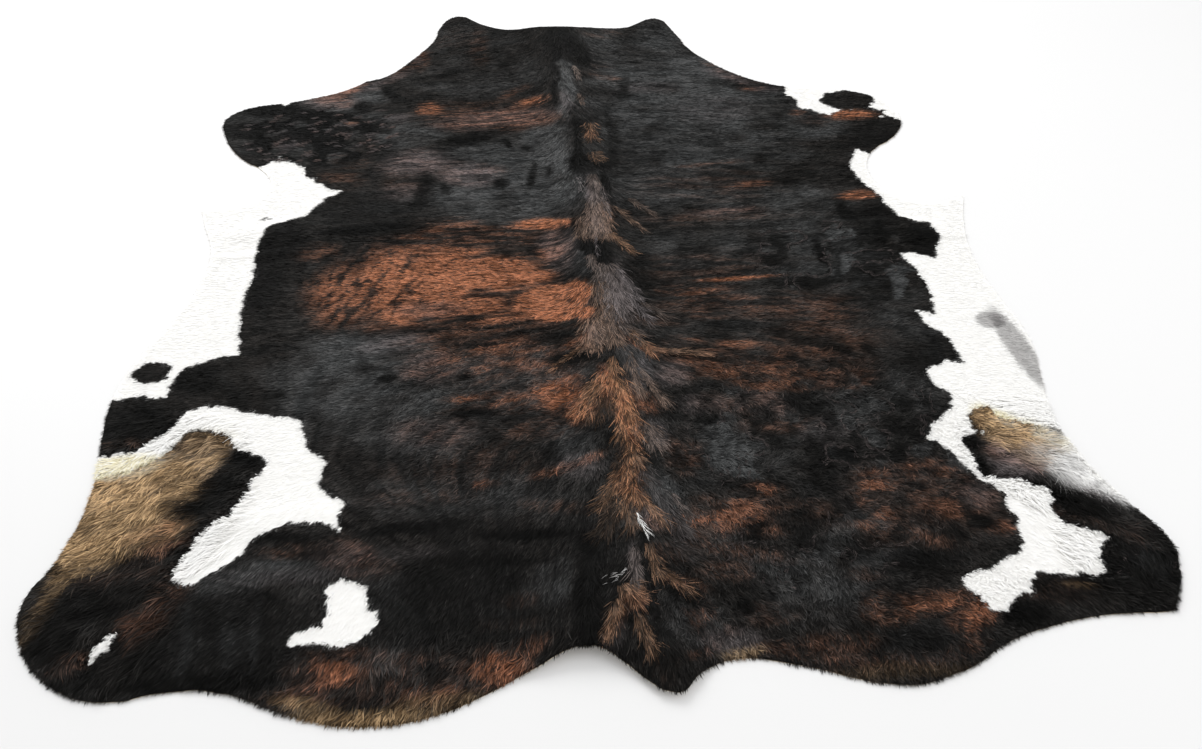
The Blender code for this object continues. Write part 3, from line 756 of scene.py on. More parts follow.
# %% Noises of the coat
# Each noise is one or two layers of blotches: how much of each, how large in metres, how far
# it is drawn out, and its seed.
Noise = namedtuple("Noise", "weight size stretch seed")
NOISES = {
    "streaks": (Noise(1, 0.011, 8, 61), Noise(0.7, 0.005, 8, 62)),
    "curly clumps": (Noise(0.6, 0.030, 1.7, 63), Noise(0.7, 0.012, 2.4, 64)),
    "torn border": (Noise(0.0055, 0.018, 1, 65), Noise(0.0035, 0.007, 1, 66)),
    "cracks": (Noise(1, 0.024, 4, 67), Noise(0.35, 0.009, 4, 68)),
    "soft": (Noise(1, 0.05, 1.5, 69), Noise(0.6, 0.02, 1.5, 70)),
    "black spots": (Noise(1, 0.040, 1, 91), Noise(0.5, 0.018, 1, 92)),
    "winding": (Noise(1, 0.040, 1, 93), Noise(0.35, 0.018, 1, 94)),
    "fine streaks": (Noise(1, 0.0040, 6, 98),),
    "fine curls": (Noise(1, 0.006, 2.5, 99),),
    "partings": (Noise(1, 0.022, 1.6, 121), Noise(0.4, 0.009, 1.6, 122)),
    "locks along the flow": (Noise(1, 0.018, 2.5, 131),),
    "small locks": (Noise(0.6, 0.011, 2, 132),),
    "where curls show": (Noise(1, 0.05, 1, 141),),
    "clumps in a tuft": (Noise(1, 0.010, 1, 151), Noise(0.5, 0.005, 1, 152)),
}


def noise(name, x, y):
    """One of the noises at each place: either way about as far as its weights add up to."""
    return sum(layer.weight * blotches(x, y, layer.size, layer.seed, layer.stretch)
               for layer in NOISES[name])


print("noises:", len(NOISES))

# %% Places with a character of their own
FLAMES = Spot(-0.57, -0.08, 0.19, 0.17, 0)     # the left flank, where streaks stand up
FLAME_LEAN = 0.40            # metres that the flames lean for each metre along the hide
FLAME_CONTRAST = 2.2
CRACK_DEPTH = 1.2
CRACK = Ramp(0.0, 0.26)
DAPPLES = Spot(-0.72, 0.54, 0.24, 0.15, -14)    # black spots on the left shoulder
DAPPLE = Ramp(-0.22, -0.05)
PALE_SPOTS_IN_WHITE = (Spot(0.900, -0.375, 0.030, 0.140, 9), Spot(0.865, -0.285, 0.035, 0.030, 0))
GREYED = 0.56                # share of the white that a pale spot takes away
CREAM_IN_WHITE = Spot(-0.980, -0.598, 0.110, 0.040, 10)
CURLED = (
    Spot(0.54, -0.03, 0.20, 0.16, 0), Spot(0.48, -0.57, 0.22, 0.14, 0),
    Spot(0.24, -0.57, 0.10, 0.15, 0), Spot(0.36, -0.86, 0.20, 0.10, 0),
    Spot(0.94, -0.94, 0.07, 0.05, 0), Spot(0.68, -0.66, 0.05, 0.06, 0),
)
Curl = namedtuple("Curl", "share ramp")          # how strong, and for which values of the noise
# In the curled parts the coat turns slate grey, partly painted sheen, where the winding noise is
# high, and darker where it is low.
SLATE_AND_SHEEN_CURL = Curl(0.65, Ramp(0.15, 0.30))
DARK_CURL = Curl(0.60, Ramp(0.30, 0.50))


# The dark cracks between the bands have less red hair and are painted shade between clumps of hair.
def flames_at(x, y):
    """Broad bands that stand up along the hide, parted by thin dark cracks."""
    cracks = np.abs(noise("cracks", y, x - FLAME_LEAN * y))
    return FLAME_CONTRAST * smooth_step(cracks, *CRACK) - CRACK_DEPTH


def pattern_at(x, y):
    """Streaks and curls of the brindle, and a finer pattern of the same."""
    curly, flow, flames = curly_at(x, y), read_chart(flow_chart, x, y), inside_spot(FLAMES, x, y)
    streaks = noise("streaks", x, flow) * (1 - flames) + flames_at(x, y) * flames
    pattern = streaks * (1 - curly) + noise("curly clumps", x, y) * curly
    fine = noise("fine streaks", x, flow) * (1 - curly) + noise("fine curls", x, y) * curly
    return pattern, fine


def curls_at(x, y):
    """How far each place is in curly parts, and the noise whose zero lines the curls follow."""
    curled = np.zeros(x.shape)
    for spot in CURLED:
        curled = np.maximum(curled, inside_spot(spot, x, y))
    return curled, noise("winding", x, y)


print("curly parts with ridges and furrows:", len(CURLED))

# %% [markdown]
# ## From tints to marks
# A tint says where a colour may show, and a noise says which hairs there have it. Together
# they give the colour's share at a place. Black hair and the painted shade in creases hide
# most of the other colours. The shade makes locks lighter or darker and paints shade into the
# gaps between curls, because one even colour would look like printed cloth.

# %% Shares of the plain tints
# The share of a colour is its tint times an even part and a streaked part, and for the slate
# grey with its painted sheen a little more wherever the streaks are strong.
Share = namedtuple("Share", "even streaked everywhere")
SHARES = {
    "dark": Share(1, 0.4, 0), "slate": Share(0.9, 0.35, 0.12),
    "grey": Share(0.85, 0.40, 0), "gold": Share(0.95, 0.35, 0),
}


def share_at(name, streaks, x, y):
    """Share of one colour at each place."""
    share = SHARES[name]
    tint = tint_at(name, x, y) * (share.even + share.streaked * streaks)
    return np.clip(tint + share.everywhere * streaks, 0, 1)


print("plain tints:", ", ".join(SHARES))

# %% Shares of red-brown and white
# Red-brown is a few streaks where its tint is weak and nearly solid where it is strong.
Red = namedtuple("Red", "everywhere contrast pattern fine between_streaks in_streaks solid")
RED = Red(everywhere=0.025, contrast=1.35, pattern=0.85, fine=0.35, between_streaks=0.20,
          in_streaks=0.90, solid=0.85)
SOLID_RED = Ramp(0.6, 1.1)
SOLID_BROKEN_BY_FLAMES = 0.75
WHITE_EDGE = Ramp(-0.001, 0.001)
Faded = namedtuple("Faded", "pattern fine")
FADED_STREAKS = Faded(0.4, 0.3)


def red_at(pattern, fine, x, y):
    """Share of red-brown, streaked by the pattern and a finer one."""
    tint = tint_at("red", x, y)
    streaked = smooth_step(0.5 + RED.pattern * pattern + RED.fine * fine, 0, 1)
    streaked = RED.between_streaks + RED.in_streaks * streaked
    whole = 1 - SOLID_BROKEN_BY_FLAMES * inside_spot(FLAMES, x, y)
    solid = RED.solid * smooth_step(tint, *SOLID_RED) * whole
    red = RED.everywhere + tint ** RED.contrast
    return np.clip(red * (streaked * (1 - solid) + solid), 0, 1)


def white_at(pattern, fine, torn, x, y):
    """Share of white: the patches, with their torn border, and the faded places."""
    white = smooth_step(read_chart(white_depth, x, y) + torn, *WHITE_EDGE)
    streaks = 1 + FADED_STREAKS.pattern * pattern + FADED_STREAKS.fine * fine
    return np.maximum(white, np.clip(tint_at("faded", x, y) * streaks, 0, 1))


# %% Shade of the coat
# How far each thing lightens or darkens the coat, and the darkest and lightest it may be.
Shading = namedtuple("Shading", "soft pattern fine island locks gaps light dark least most")
SHADING = Shading(soft=0.25, pattern=0.34, fine=0.52, island=0.35, locks=0.5, gaps=0.6,
                  light=1.08, dark=0.92, least=0.05, most=2.5)
GAP = Ramp(0.0, 0.16)
LOCK_SHADOW = Ramp(0.1, 0.9)


def shade_at(soft, pattern, fine, island, dark, x, y):
    """Lightness of the coat at each place, 1 in the middle."""
    # The gaps are painted shade along the partings between curls.
    gaps = curly_at(x, y) * (1 - smooth_step(np.abs(noise("partings", x, y)), *GAP))
    flow = read_chart(flow_chart, x, y)
    locks = noise("locks along the flow", x, flow) + noise("small locks", x, y)
    shade = 1 + SHADING.soft * soft + SHADING.pattern * pattern + SHADING.fine * fine
    shade = shade + SHADING.island * island
    shade = shade * (1 - SHADING.locks * smooth_step(locks, *LOCK_SHADOW))
    shade = shade * (1 - SHADING.gaps * gaps)
    shade = shade * (1 + SHADING.light * tint_at("light", x, y)) * (1 - SHADING.dark * dark)
    return np.clip(shade, SHADING.least, SHADING.most)


# %% Marks of the coat at each place
Marks = namedtuple("Marks", "red slate grey gold white shade")
ISLAND_EDGE = Ramp(-0.002, 0.002)
ISLAND_TORN = 0.5            # an island's border is torn this much as far as the white's
ISLAND_SLATE_AND_SHEEN = 0.85
DARK_HIDES = 0.9            # share of the other colours that dark places, black hair and painted shade alike, take away


def marks_at(x, y):
    """How red, slate grey with painted sheen, grey, golden and white the coat is at each place, and
    its shade.
    """
    pattern, fine = pattern_at(x, y)
    soft, torn = noise("soft", x, y), noise("torn border", x, y)
    white = white_at(pattern, fine, torn, x, y)
    red = red_at(pattern, fine, x, y)
    dark = share_at("dark", pattern, x, y)
    dapples = smooth_step(noise("black spots", x, y), *DAPPLE)
    dark = np.maximum(dark, inside_spot(DAPPLES, x, y) * dapples)
    slate = share_at("slate", soft, x, y)
    grey, gold = share_at("grey", pattern, x, y), share_at("gold", pattern, x, y)
    island = smooth_step(read_chart(island_depth, x, y) + ISLAND_TORN * torn, *ISLAND_EDGE)
    slate = np.maximum(slate, ISLAND_SLATE_AND_SHEEN * island)
    red, dark = red * (1 - island), dark * (1 - island)
    curled, winding = curls_at(x, y)
    slate_and_sheen_curls = SLATE_AND_SHEEN_CURL.share * curled * smooth_step(winding, *SLATE_AND_SHEEN_CURL.ramp)
    dark_curls = DARK_CURL.share * curled * smooth_step(-winding, *DARK_CURL.ramp)
    slate, dark = np.maximum(slate, slate_and_sheen_curls), np.maximum(dark, dark_curls)
    for spot in PALE_SPOTS_IN_WHITE:
        pale = inside_spot(spot, x, y)
        white, grey = white * (1 - GREYED * pale), np.maximum(grey, pale)
    gold = np.maximum(gold, inside_spot(CREAM_IN_WHITE, x, y))
    shade = shade_at(soft, pattern, fine, island, dark, x, y) * (1 - white) + white
    keep = 1 - DARK_HIDES * dark
    return Marks(red * keep, slate * keep, grey * keep, gold * keep, white, shade)


print("marks:", ", ".join(Marks._fields))

# %% [markdown]
# ## The leather sheet
# The leather is a plain grid, cut back to the outline and laid over the folds. Cells
# outside the outline are deleted in edit mode, and the corners on the new rim are pulled
# onto the edge, which keeps neat square faces right up to it. Solidify then gives it the
# leather's thickness downwards, with the suede side and the cut edge in a second material.

# %% Cut a grid to the outline
LEATHER = 0.002
LEATHER_INSET = 0.003        # the hair reaches this far past the leather's cut edge
GRID_STEP = 0.012
FLOOR_GAP = 0.0002
EDGE_WOBBLE = 0.0015         # how far the cut edge strays from a smooth line
PULLS = 4                    # times that the rim is pulled, each time closer to the edge
edge_wobble = EDGE_WOBBLE * blotches(chart_x, chart_y, 0.03, 81)
leather_depth = edge_depth - LEATHER_INSET + edge_wobble


def deselect_everything():
    for thing in bpy.context.selected_objects:
        thing.select_set(False)


def points_of(mesh):
    points = np.zeros(len(mesh.vertices) * 3, np.float32)
    mesh.vertices.foreach_get("co", points)
    return points.reshape(-1, 3).astype(float)


def grid_over_hide():
    """A flat grid of square cells, a little larger or smaller than the hide's box."""
    deselect_everything()
    columns = round((high.x - low.x) / GRID_STEP)
    rows = round((high.y - low.y) / GRID_STEP)
    bpy.ops.mesh.primitive_grid_add(x_subdivisions=columns, y_subdivisions=rows, size=1)
    grid = bpy.context.object
    grid.name = "hide_leather"
    grid.data.name = "hide_leather"
    points = points_of(grid.data)
    points[:, 0] *= columns * GRID_STEP
    points[:, 1] *= rows * GRID_STEP
    grid.data.vertices.foreach_set("co", points.ravel())
    return grid


def delete_outside(grid):
    """Deletes the cells whose middles lie outside the leather's outline."""
    points = points_of(grid.data)
    corners = np.zeros(len(grid.data.polygons) * 4, int)
    grid.data.polygons.foreach_get("vertices", corners)
    middles = points[corners.reshape(-1, 4)].mean(axis=1)
    depth = read_chart(leather_depth, middles[:, 0] - SPINE_X, middles[:, 1] - MIDDLE_Y)
    bpy.ops.object.mode_set(mode="EDIT")
    bpy.ops.mesh.select_mode(type="FACE")
    bpy.ops.mesh.select_all(action="DESELECT")
    bpy.ops.object.mode_set(mode="OBJECT")
    grid.data.polygons.foreach_set("select", depth < 0)
    bpy.ops.object.mode_set(mode="EDIT")
    bpy.ops.mesh.delete(type="FACE")
    bpy.ops.object.mode_set(mode="OBJECT")


def pull_rim_onto_edge(grid):
    """Corners on the open rim slide along the slope of the depth until it is nothing."""
    edges = bmesh.new()
    edges.from_mesh(grid.data)
    rim = [vert.index for vert in edges.verts if vert.is_boundary]
    edges.free()
    points = points_of(grid.data)
    for _ in range(PULLS):
        x, y = points[rim, 0] - SPINE_X, points[rim, 1] - MIDDLE_Y
        depth = read_chart(leather_depth, x, y)
        points[rim, 0] -= depth * read_chart(slope_x, x, y)
        points[rim, 1] -= depth * read_chart(slope_y, x, y)
    heights = read_chart(fold_heights, points[:, 0] - SPINE_X, points[:, 1] - MIDDLE_Y)
    points[:, 2] = heights + LEATHER + FLOOR_GAP
    grid.data.vertices.foreach_set("co", points.ravel())
    grid.data.update()


leather = grid_over_hide()
delete_outside(leather)
pull_rim_onto_edge(leather)
print("leather:", len(leather.data.polygons), "cells")

# %% [markdown]
# ## Materials
# Hair and leather get their colours from the marks that each point carries: one colour
# attribute for red, slate grey with painted sheen, grey and gold, and another for the
# strand's own tone, the place along it and white. Blender's nodes then mix a dark root and a
# lighter tip for each kind of hair; the dark root is painted shade, where the coat shades
# its own lower part. Where gold and white meet, the hair turns cream. Keeping the colours in
# the nodes and only their shares on the mesh means that a colour can be changed in one place.

# %% Small helpers for node trees
def add_node(tree, kind, place, **settings):
    node = tree.nodes.new(kind)
    node.location = place
    for name, value in settings.items():
        setattr(node, name, value)
    return node


def mix_colours(tree, share, one, other, place):
    """A Mix node: other over one by share. Colours are sockets or four numbers."""
    mix = add_node(tree, "ShaderNodeMix", place, data_type="RGBA", clamp_factor=True)
    for socket, value in ((mix.inputs[0], share), (mix.inputs[6], one), (mix.inputs[7], other)):
        if isinstance(value, bpy.types.NodeSocket):
            tree.links.new(value, socket)
        else:
            socket.default_value = value
    return mix.outputs[2]


def new_material(name):
    """A material with its node tree and its shader."""
    material = bpy.data.materials.new(name)
    material.use_nodes = True
    tree = material.node_tree
    return material, tree, tree.nodes["Principled BSDF"]


# %% Hair colours
HairColour = namedtuple("HairColour", "root tip")
COAT = HairColour((0.0028, 0.0028, 0.0026, 1), (0.0380, 0.0365, 0.0345, 1))
# The slate coat stands partly for slate-grey hair and partly for painted sheen.
SLATE_AND_SHEEN_COAT = HairColour((0.0112, 0.0117, 0.0118, 1), (0.126, 0.130, 0.131, 1))
BROWN_COAT = HairColour((0.020, 0.011, 0.007, 1), (0.300, 0.178, 0.130, 1))
RED_COAT = HairColour((0.050, 0.018, 0.008, 1), (0.720, 0.285, 0.150, 1))
GREY_COAT = HairColour((0.045, 0.040, 0.041, 1), (0.300, 0.260, 0.262, 1))
GOLD_COAT = HairColour((0.120, 0.070, 0.032, 1), (0.790, 0.535, 0.290, 1))
WHITE_COAT = HairColour((0.920, 0.912, 0.890, 1), (0.975, 0.973, 0.965, 1))
CREAM_COAT = HairColour((0.860, 0.800, 0.580, 1), (0.960, 0.920, 0.740, 1))
HAIR_ROUGHNESS = 0.50
HAIR_SHINE = 0.03

# A layer of colour: its share, its colours where it is faint and full, and what turns it
# from the one to the other.
Layer = namedtuple("Layer", "share faint full turn")


def hair_material():
    """The dark coat, with a layer over it for each other kind of hair; the slate layer is partly
    painted sheen.
    """
    material, tree, shader = new_material("cowhide_hair")
    marks = add_node(tree, "ShaderNodeAttribute", (-1400, 200), attribute_name="marks")
    strand = add_node(tree, "ShaderNodeAttribute", (-1400, -200), attribute_name="strand")
    shares = add_node(tree, "ShaderNodeSeparateColor", (-1200, 200))
    tree.links.new(marks.outputs["Color"], shares.inputs[0])
    details = add_node(tree, "ShaderNodeSeparateColor", (-1200, -200))
    tree.links.new(strand.outputs["Color"], details.inputs[0])
    tone, along, white = details.outputs[0], details.outputs[1], details.outputs[2]
    lightness = add_node(tree, "ShaderNodeMath", (-1000, -200), operation="MULTIPLY")
    tree.links.new(tone, lightness.inputs[0])
    tree.links.new(along, lightness.inputs[1])
    colour = mix_colours(tree, lightness.outputs[0], COAT.root, COAT.tip, (-800, 500))
    red, slate, grey, gold = *shares.outputs[:3], marks.outputs["Alpha"]
    layers = (
        Layer(slate, SLATE_AND_SHEEN_COAT, SLATE_AND_SHEEN_COAT, 0.0), Layer(red, BROWN_COAT, RED_COAT, red),
        Layer(grey, GREY_COAT, GREY_COAT, 0.0), Layer(gold, GOLD_COAT, GOLD_COAT, 0.0),
        Layer(white, WHITE_COAT, CREAM_COAT, gold))
    for number, layer in enumerate(layers):
        across = -600 + 200 * number
        faint, full = (
            mix_colours(tree, lightness.outputs[0], kind.root, kind.tip, (across, -300 * up))
            for up, kind in enumerate((layer.faint, layer.full)))
        shade = mix_colours(tree, layer.turn, faint, full, (across, 200))
        colour = mix_colours(tree, layer.share, colour, shade, (across, 500))
    tree.links.new(colour, shader.inputs["Base Color"])
    shader.inputs["Roughness"].default_value = HAIR_ROUGHNESS
    shader.inputs["Specular IOR Level"].default_value = HAIR_SHINE
    return material


hair_finish = hair_material()

# %% [markdown]
# ## The suede side
# The flesh side of tanned leather is sanded to a short nap. It is pale and matt, a little
# cloudy, and its nap is a fine bump.

# %% Leather finishes
SUEDE_PALE = (0.520, 0.450, 0.340, 1)
SUEDE_WORN = (0.340, 0.270, 0.190, 1)
SUEDE_ROUGHNESS = 0.9
SUEDE_SHEEN = 0.2
NAP_STRENGTH = 0.35
NAP_HEIGHT = 0.0008
Cloud = namedtuple("Cloud", "scale detail")
WORN_CLOUDS = Cloud(9, 6)
NAP = Cloud(420, 4)


def cloud_texture(tree, cloud, place):
    """A noise node of some scale and detail."""
    texture = add_node(tree, "ShaderNodeTexNoise", place)
    texture.inputs["Scale"].default_value = cloud.scale
    texture.inputs["Detail"].default_value = cloud.detail
    return texture


def suede_material():
    material, tree, shader = new_material("suede_leather")
    place = add_node(tree, "ShaderNodeTexCoord", (-1000, 0))
    cloudy = cloud_texture(tree, WORN_CLOUDS, (-800, 100))
    nap = cloud_texture(tree, NAP, (-800, -200))
    for texture in (cloudy, nap):
        tree.links.new(place.outputs["Object"], texture.inputs["Vector"])
    colour = mix_colours(tree, cloudy.outputs[0], SUEDE_PALE, SUEDE_WORN, (-500, 100))
    tree.links.new(colour, shader.inputs["Base Color"])
    bump = add_node(tree, "ShaderNodeBump", (-300, -200))
    bump.inputs["Strength"].default_value = NAP_STRENGTH
    bump.inputs["Distance"].default_value = NAP_HEIGHT
    tree.links.new(nap.outputs[0], bump.inputs["Height"])
    tree.links.new(bump.outputs[0], shader.inputs["Normal"])
    shader.inputs["Roughness"].default_value = SUEDE_ROUGHNESS
    shader.inputs["Sheen Weight"].default_value = SUEDE_SHEEN
    return material


suede_finish = suede_material()

# %% Give the leather its marks, thickness and finishes
SHADED_LEATHER_TONE = 0.30          # painted shade: the skin between the hairs is coloured darker than they are
LEATHER_ALONG = 0.4          # and coloured as a strand is this far along itself
ROUND_UP_TO = 40             # degrees between two faces that still look like one


def put_marks(mesh, marks, tone, along):
    """Stores the shares of each colour and the strand's tone on a mesh's points."""
    shares = np.stack([marks.red, marks.slate, marks.grey, marks.gold], axis=1)
    details = np.stack([tone, along, marks.white, np.ones(len(tone))], axis=1)
    for name, values in (("marks", shares), ("strand", details)):
        layer = mesh.attributes.new(name, "FLOAT_COLOR", "POINT")
        layer.data.foreach_set("color", values.astype(np.float32).ravel())


def finish_leather(sheet):
    """Colours the hair side and adds the thickness, with suede below and on the cut edge."""
    points = points_of(sheet.data)
    marks = marks_at(points[:, 0] - SPINE_X, points[:, 1] - MIDDLE_Y)
    count = len(points)
    put_marks(sheet.data, marks, np.full(count, SHADED_LEATHER_TONE),
              np.full(count, LEATHER_ALONG))
    sheet.data.materials.append(hair_finish)
    sheet.data.materials.append(suede_finish)
    shell = sheet.modifiers.new("leather", "SOLIDIFY")
    shell.thickness = LEATHER
    shell.offset = -1
    shell.material_offset = 1
    shell.material_offset_rim = 1
    deselect_everything()
    sheet.select_set(True)
    bpy.context.view_layer.objects.active = sheet
    bpy.ops.object.modifier_apply(modifier="leather")
    bpy.ops.object.shade_smooth_by_angle(angle=math.radians(ROUND_UP_TO))


finish_leather(leather)
print("leather sheet:", len(leather.data.polygons), "faces")

# %% [markdown]
# ## The hair
# One hair is far too thin to model, so a strand here is a lock of a few hairs: a narrow
# blade that is rooted in the leather, follows the lie and ends in a point. Short hair is a
# single triangle, and long hair is a bent strip. All strands of one part of the hide are
# joined in one mesh, made straight from arrays of points.

# %% Locks
Locks = namedtuple("Locks", "x y away tone")


def locks_at(x, y, size, seed):
    """The lock that each root belongs to: its middle, how far off it is, and its tone."""
    rng = np.random.default_rng(seed)
    shift_x, shift_y, tones = rng.uniform(-0.4, 0.4, (3, LATTICE, LATTICE))
    column, row = np.floor(x / size).astype(int), np.floor(y / size).astype(int)
    found = Locks(x.copy(), y.copy(), np.full(x.shape, np.inf), np.zeros(x.shape))
    for over in (-1, 0, 1):
        for up in (-1, 0, 1):
            place = ((row + up) % LATTICE, (column + over) % LATTICE)
            middle_x = (column + over + 0.5 + shift_x[place]) * size
            middle_y = (row + up + 0.5 + shift_y[place]) * size
            away = np.hypot(x - middle_x, y - middle_y)
            closer = away < found.away
            for kept, here in zip(found, (middle_x, middle_y, away, tones[place])):
                kept[closer] = here[closer]
    return found


# %% Build strands from arrays
Coat = namedtuple("Coat", "length width base rise ridge pull curl segments")
Strands = namedtuple("Strands", "x y angle lock_angle coat locks marks")
ROLL = 0.28                  # radians that strands are rolled about themselves, at random
ROLL_LOST_IN_WHITE = 0.75    # share of its roll that white hair loses
ARCH = 2.2                   # radians of a sine that a long strand's height follows
SINKS = 0.001                # past the leather's edge a strand may sink this far
LIFT_KEPT = 0.3              # and it keeps this share of its lift there
TAPER = 0.55                 # share of its width that a strand loses towards its tip
LOWEST = 0.0003              # no hair is closer to the floor than this


def strand_points(strands, rng):
    """The points of each strand: pairs along its sides and one at its tip."""
    x, y, coat, locks = strands.x, strands.y, strands.coat, strands.locks
    steps = coat.segments
    length = coat.length / steps
    heading, lock_heading = strands.angle.copy(), strands.lock_angle.copy()
    step_x, step_y = np.zeros(x.shape), np.zeros(x.shape)
    lock_x, lock_y = locks.x - x, locks.y - y
    roll = rng.normal(0, ROLL, len(x)) * (1 - ROLL_LOST_IN_WHITE * strands.marks.white)
    rows = []
    for step in range(steps + 1):
        share = step / steps
        place_x = x + step_x + coat.pull * share * (lock_x - step_x)
        place_y = y + step_y + coat.pull * share * (lock_y - step_y)
        surface = read_chart(fold_heights, place_x, place_y) + LEATHER + FLOOR_GAP
        outside = read_chart(leather_depth, place_x, place_y) < 0
        lift = coat.base + coat.rise * (share if steps == 1 else math.sin(ARCH * share))
        lift = lift + coat.ridge * (1 - share)
        height = surface + lift
        sunk = surface - SINKS + LIFT_KEPT * lift
        height = np.where(outside, np.minimum(sunk, height), height)
        if step < steps:
            half = 0.5 * coat.width * (1 - TAPER * share)
            side_x, side_y = -np.sin(heading) * np.cos(roll), np.cos(heading) * np.cos(roll)
            side_z = np.sin(roll)
            for hand in (-1, 1):
                rows.append(np.stack([
                    place_x + SPINE_X + hand * half * side_x,
                    place_y + MIDDLE_Y + hand * half * side_y,
                    np.maximum(height + hand * half * side_z, LOWEST)], axis=1))
            heading = heading + coat.curl / steps
            lock_heading = lock_heading + coat.curl / steps
            step_x, step_y = step_x + length * np.cos(heading), step_y + length * np.sin(heading)
            lock_x = lock_x + length * np.cos(lock_heading)
            lock_y = lock_y + length * np.sin(lock_heading)
        else:
            rows.append(np.stack([
                place_x + SPINE_X, place_y + MIDDLE_Y, np.maximum(height, LOWEST)], axis=1))
    return np.stack(rows, axis=1)


def strand_triangles(count, segments):
    """Triangles of every strand, with their upper sides up."""
    pattern = []
    for step in range(segments - 1):
        right, left = 2 * step, 2 * step + 1
        pattern += [(right, right + 2, left), (left, right + 2, left + 2)]
    pattern.append((2 * segments - 2, 2 * segments, 2 * segments - 1))
    starts = np.arange(count)[:, None, None] * (2 * segments + 1)
    return (starts + np.array(pattern)[None]).reshape(-1, 3)


def mesh_from_arrays(name, points, triangles):
    """A mesh made straight from its points and triangles."""
    mesh = bpy.data.meshes.new(name)
    mesh.vertices.add(len(points))
    mesh.vertices.foreach_set("co", points.astype(np.float32).ravel())
    mesh.loops.add(len(triangles) * 3)
    mesh.loops.foreach_set("vertex_index", triangles.astype(np.int32).ravel())
    mesh.polygons.add(len(triangles))
    mesh.polygons.foreach_set("loop_start", np.arange(0, len(triangles) * 3, 3, dtype=np.int32))
    mesh.update(calc_edges=True)
    return mesh


def plan_view_map(mesh, points, triangles):
    """A UV map seen from straight above, for baking the coat's colours."""
    reach = max(high.x - low.x, high.y - low.y) + 2 * CHART_MARGIN
    seen = points[triangles.ravel(), :2] / reach + 0.5
    layer = mesh.uv_layers.new(name="OFBake")
    layer.data.foreach_set("uv", seen.astype(np.float32).ravel())


# %% Grow one piece of the coat
ODD_HAIRS = 0.25             # share of hairs with little of the colour around them
ODD_COLOUR = 0.30            # how much of it they have
MIDDLE_TONE = 0.55           # lightness of a middling hair
HAIR_CONTRAST = 0.50         # how much single hairs differ in lightness
LOCK_CONTRAST = 1.0          # and how much whole locks do
DARKEST = 0.02
LIGHTEST = 1.4
# Painted shade: a strand is darker towards its root, where the coat shades itself.
ROOT_LIGHT = 0.20            # lightness at the root, as a share of that at the tip


def grow_hair(name, strands, seed):
    """Makes one piece of the coat from its strands."""
    rng = np.random.default_rng(seed)
    count = len(strands.x)
    points = strand_points(strands, rng)
    segments = strands.coat.segments
    triangles = strand_triangles(count, segments)
    per_strand = points.shape[1]
    marks = strands.marks
    fade = np.where(rng.random(count) < ODD_HAIRS, ODD_COLOUR, 1.0)
    marks = marks._replace(red=marks.red * fade, grey=marks.grey * fade, gold=marks.gold * fade)
    uneven = rng.normal(0, HAIR_CONTRAST, count) + LOCK_CONTRAST * strands.locks.tone
    tone = MIDDLE_TONE * np.exp(uneven)
    tone = np.clip(tone * marks.shade, DARKEST, LIGHTEST)
    along = np.repeat(np.linspace(0, 1, segments + 1), 2)[:per_strand]
    along = ROOT_LIGHT + (1 - ROOT_LIGHT) * along
    points = points.reshape(-1, 3)
    mesh = mesh_from_arrays(name, points, triangles)
    repeated = Marks(*(np.repeat(share, per_strand) for share in marks))
    put_marks(mesh, repeated, np.repeat(tone, per_strand), np.tile(along, count))
    plan_view_map(mesh, points, triangles)
    mesh.materials.append(hair_finish)
    piece = bpy.data.objects.new(name, mesh)
    bpy.context.scene.collection.objects.link(piece)
    print(name + ":", count, "strands,", len(triangles), "triangles")
    return piece


# %% [markdown]
# ## The short coat
# Roots stand on a fine grid, each moved a little at random, which covers the hide evenly
# without rows showing. White hair on white leather hides its gaps, so it is thinner there.
# The coat is cut into five pieces, because one mesh of nearly half a million triangles is
# slow to handle.

# %% Plant the roots
ROOT_STEP = 0.0027
ROOT_SCATTER = 0.6           # steps that a root may be moved, each way
ROOT_MARGIN = 0.001
WHITE_THINNING = 0.5         # share of the roots that is left in the white
THINNED_INSIDE = 0.01        # the thinning starts this far inside a white patch


def plant_roots(seed):
    """The places of all roots of the short coat."""
    rng = np.random.default_rng(seed)
    columns = np.arange(low.x, high.x, ROOT_STEP) - SPINE_X
    rows = np.arange(low.y, high.y, ROOT_STEP) - MIDDLE_Y
    x, y = (axis.ravel() for axis in np.meshgrid(columns, rows))
    x = x + rng.uniform(-ROOT_SCATTER, ROOT_SCATTER, x.shape) * ROOT_STEP
    y = y + rng.uniform(-ROOT_SCATTER, ROOT_SCATTER, y.shape) * ROOT_STEP
    kept = read_chart(leather_depth, x, y) > ROOT_MARGIN
    white = read_chart(white_depth, x, y) > THINNED_INSIDE
    kept &= ~white | (rng.random(x.shape) < WHITE_THINNING)
    return x[kept], y[kept]


root_x, root_y = plant_roots(101)
print("roots of the short coat:", len(root_x))

# %% Sizes of the short coat
Region = namedtuple("Region", "x_from x_to y_from y_to")
SHORT_COAT = {
    "hair_neck": Region(-2, 2, 0.50, 2),
    "hair_left_side": Region(-2, 0, -0.20, 0.50),
    "hair_right_side": Region(0, 2, -0.20, 0.50),
    "hair_left_rump": Region(-2, 0, -2, -0.20),
    "hair_right_rump": Region(0, 2, -2, -0.20),
}
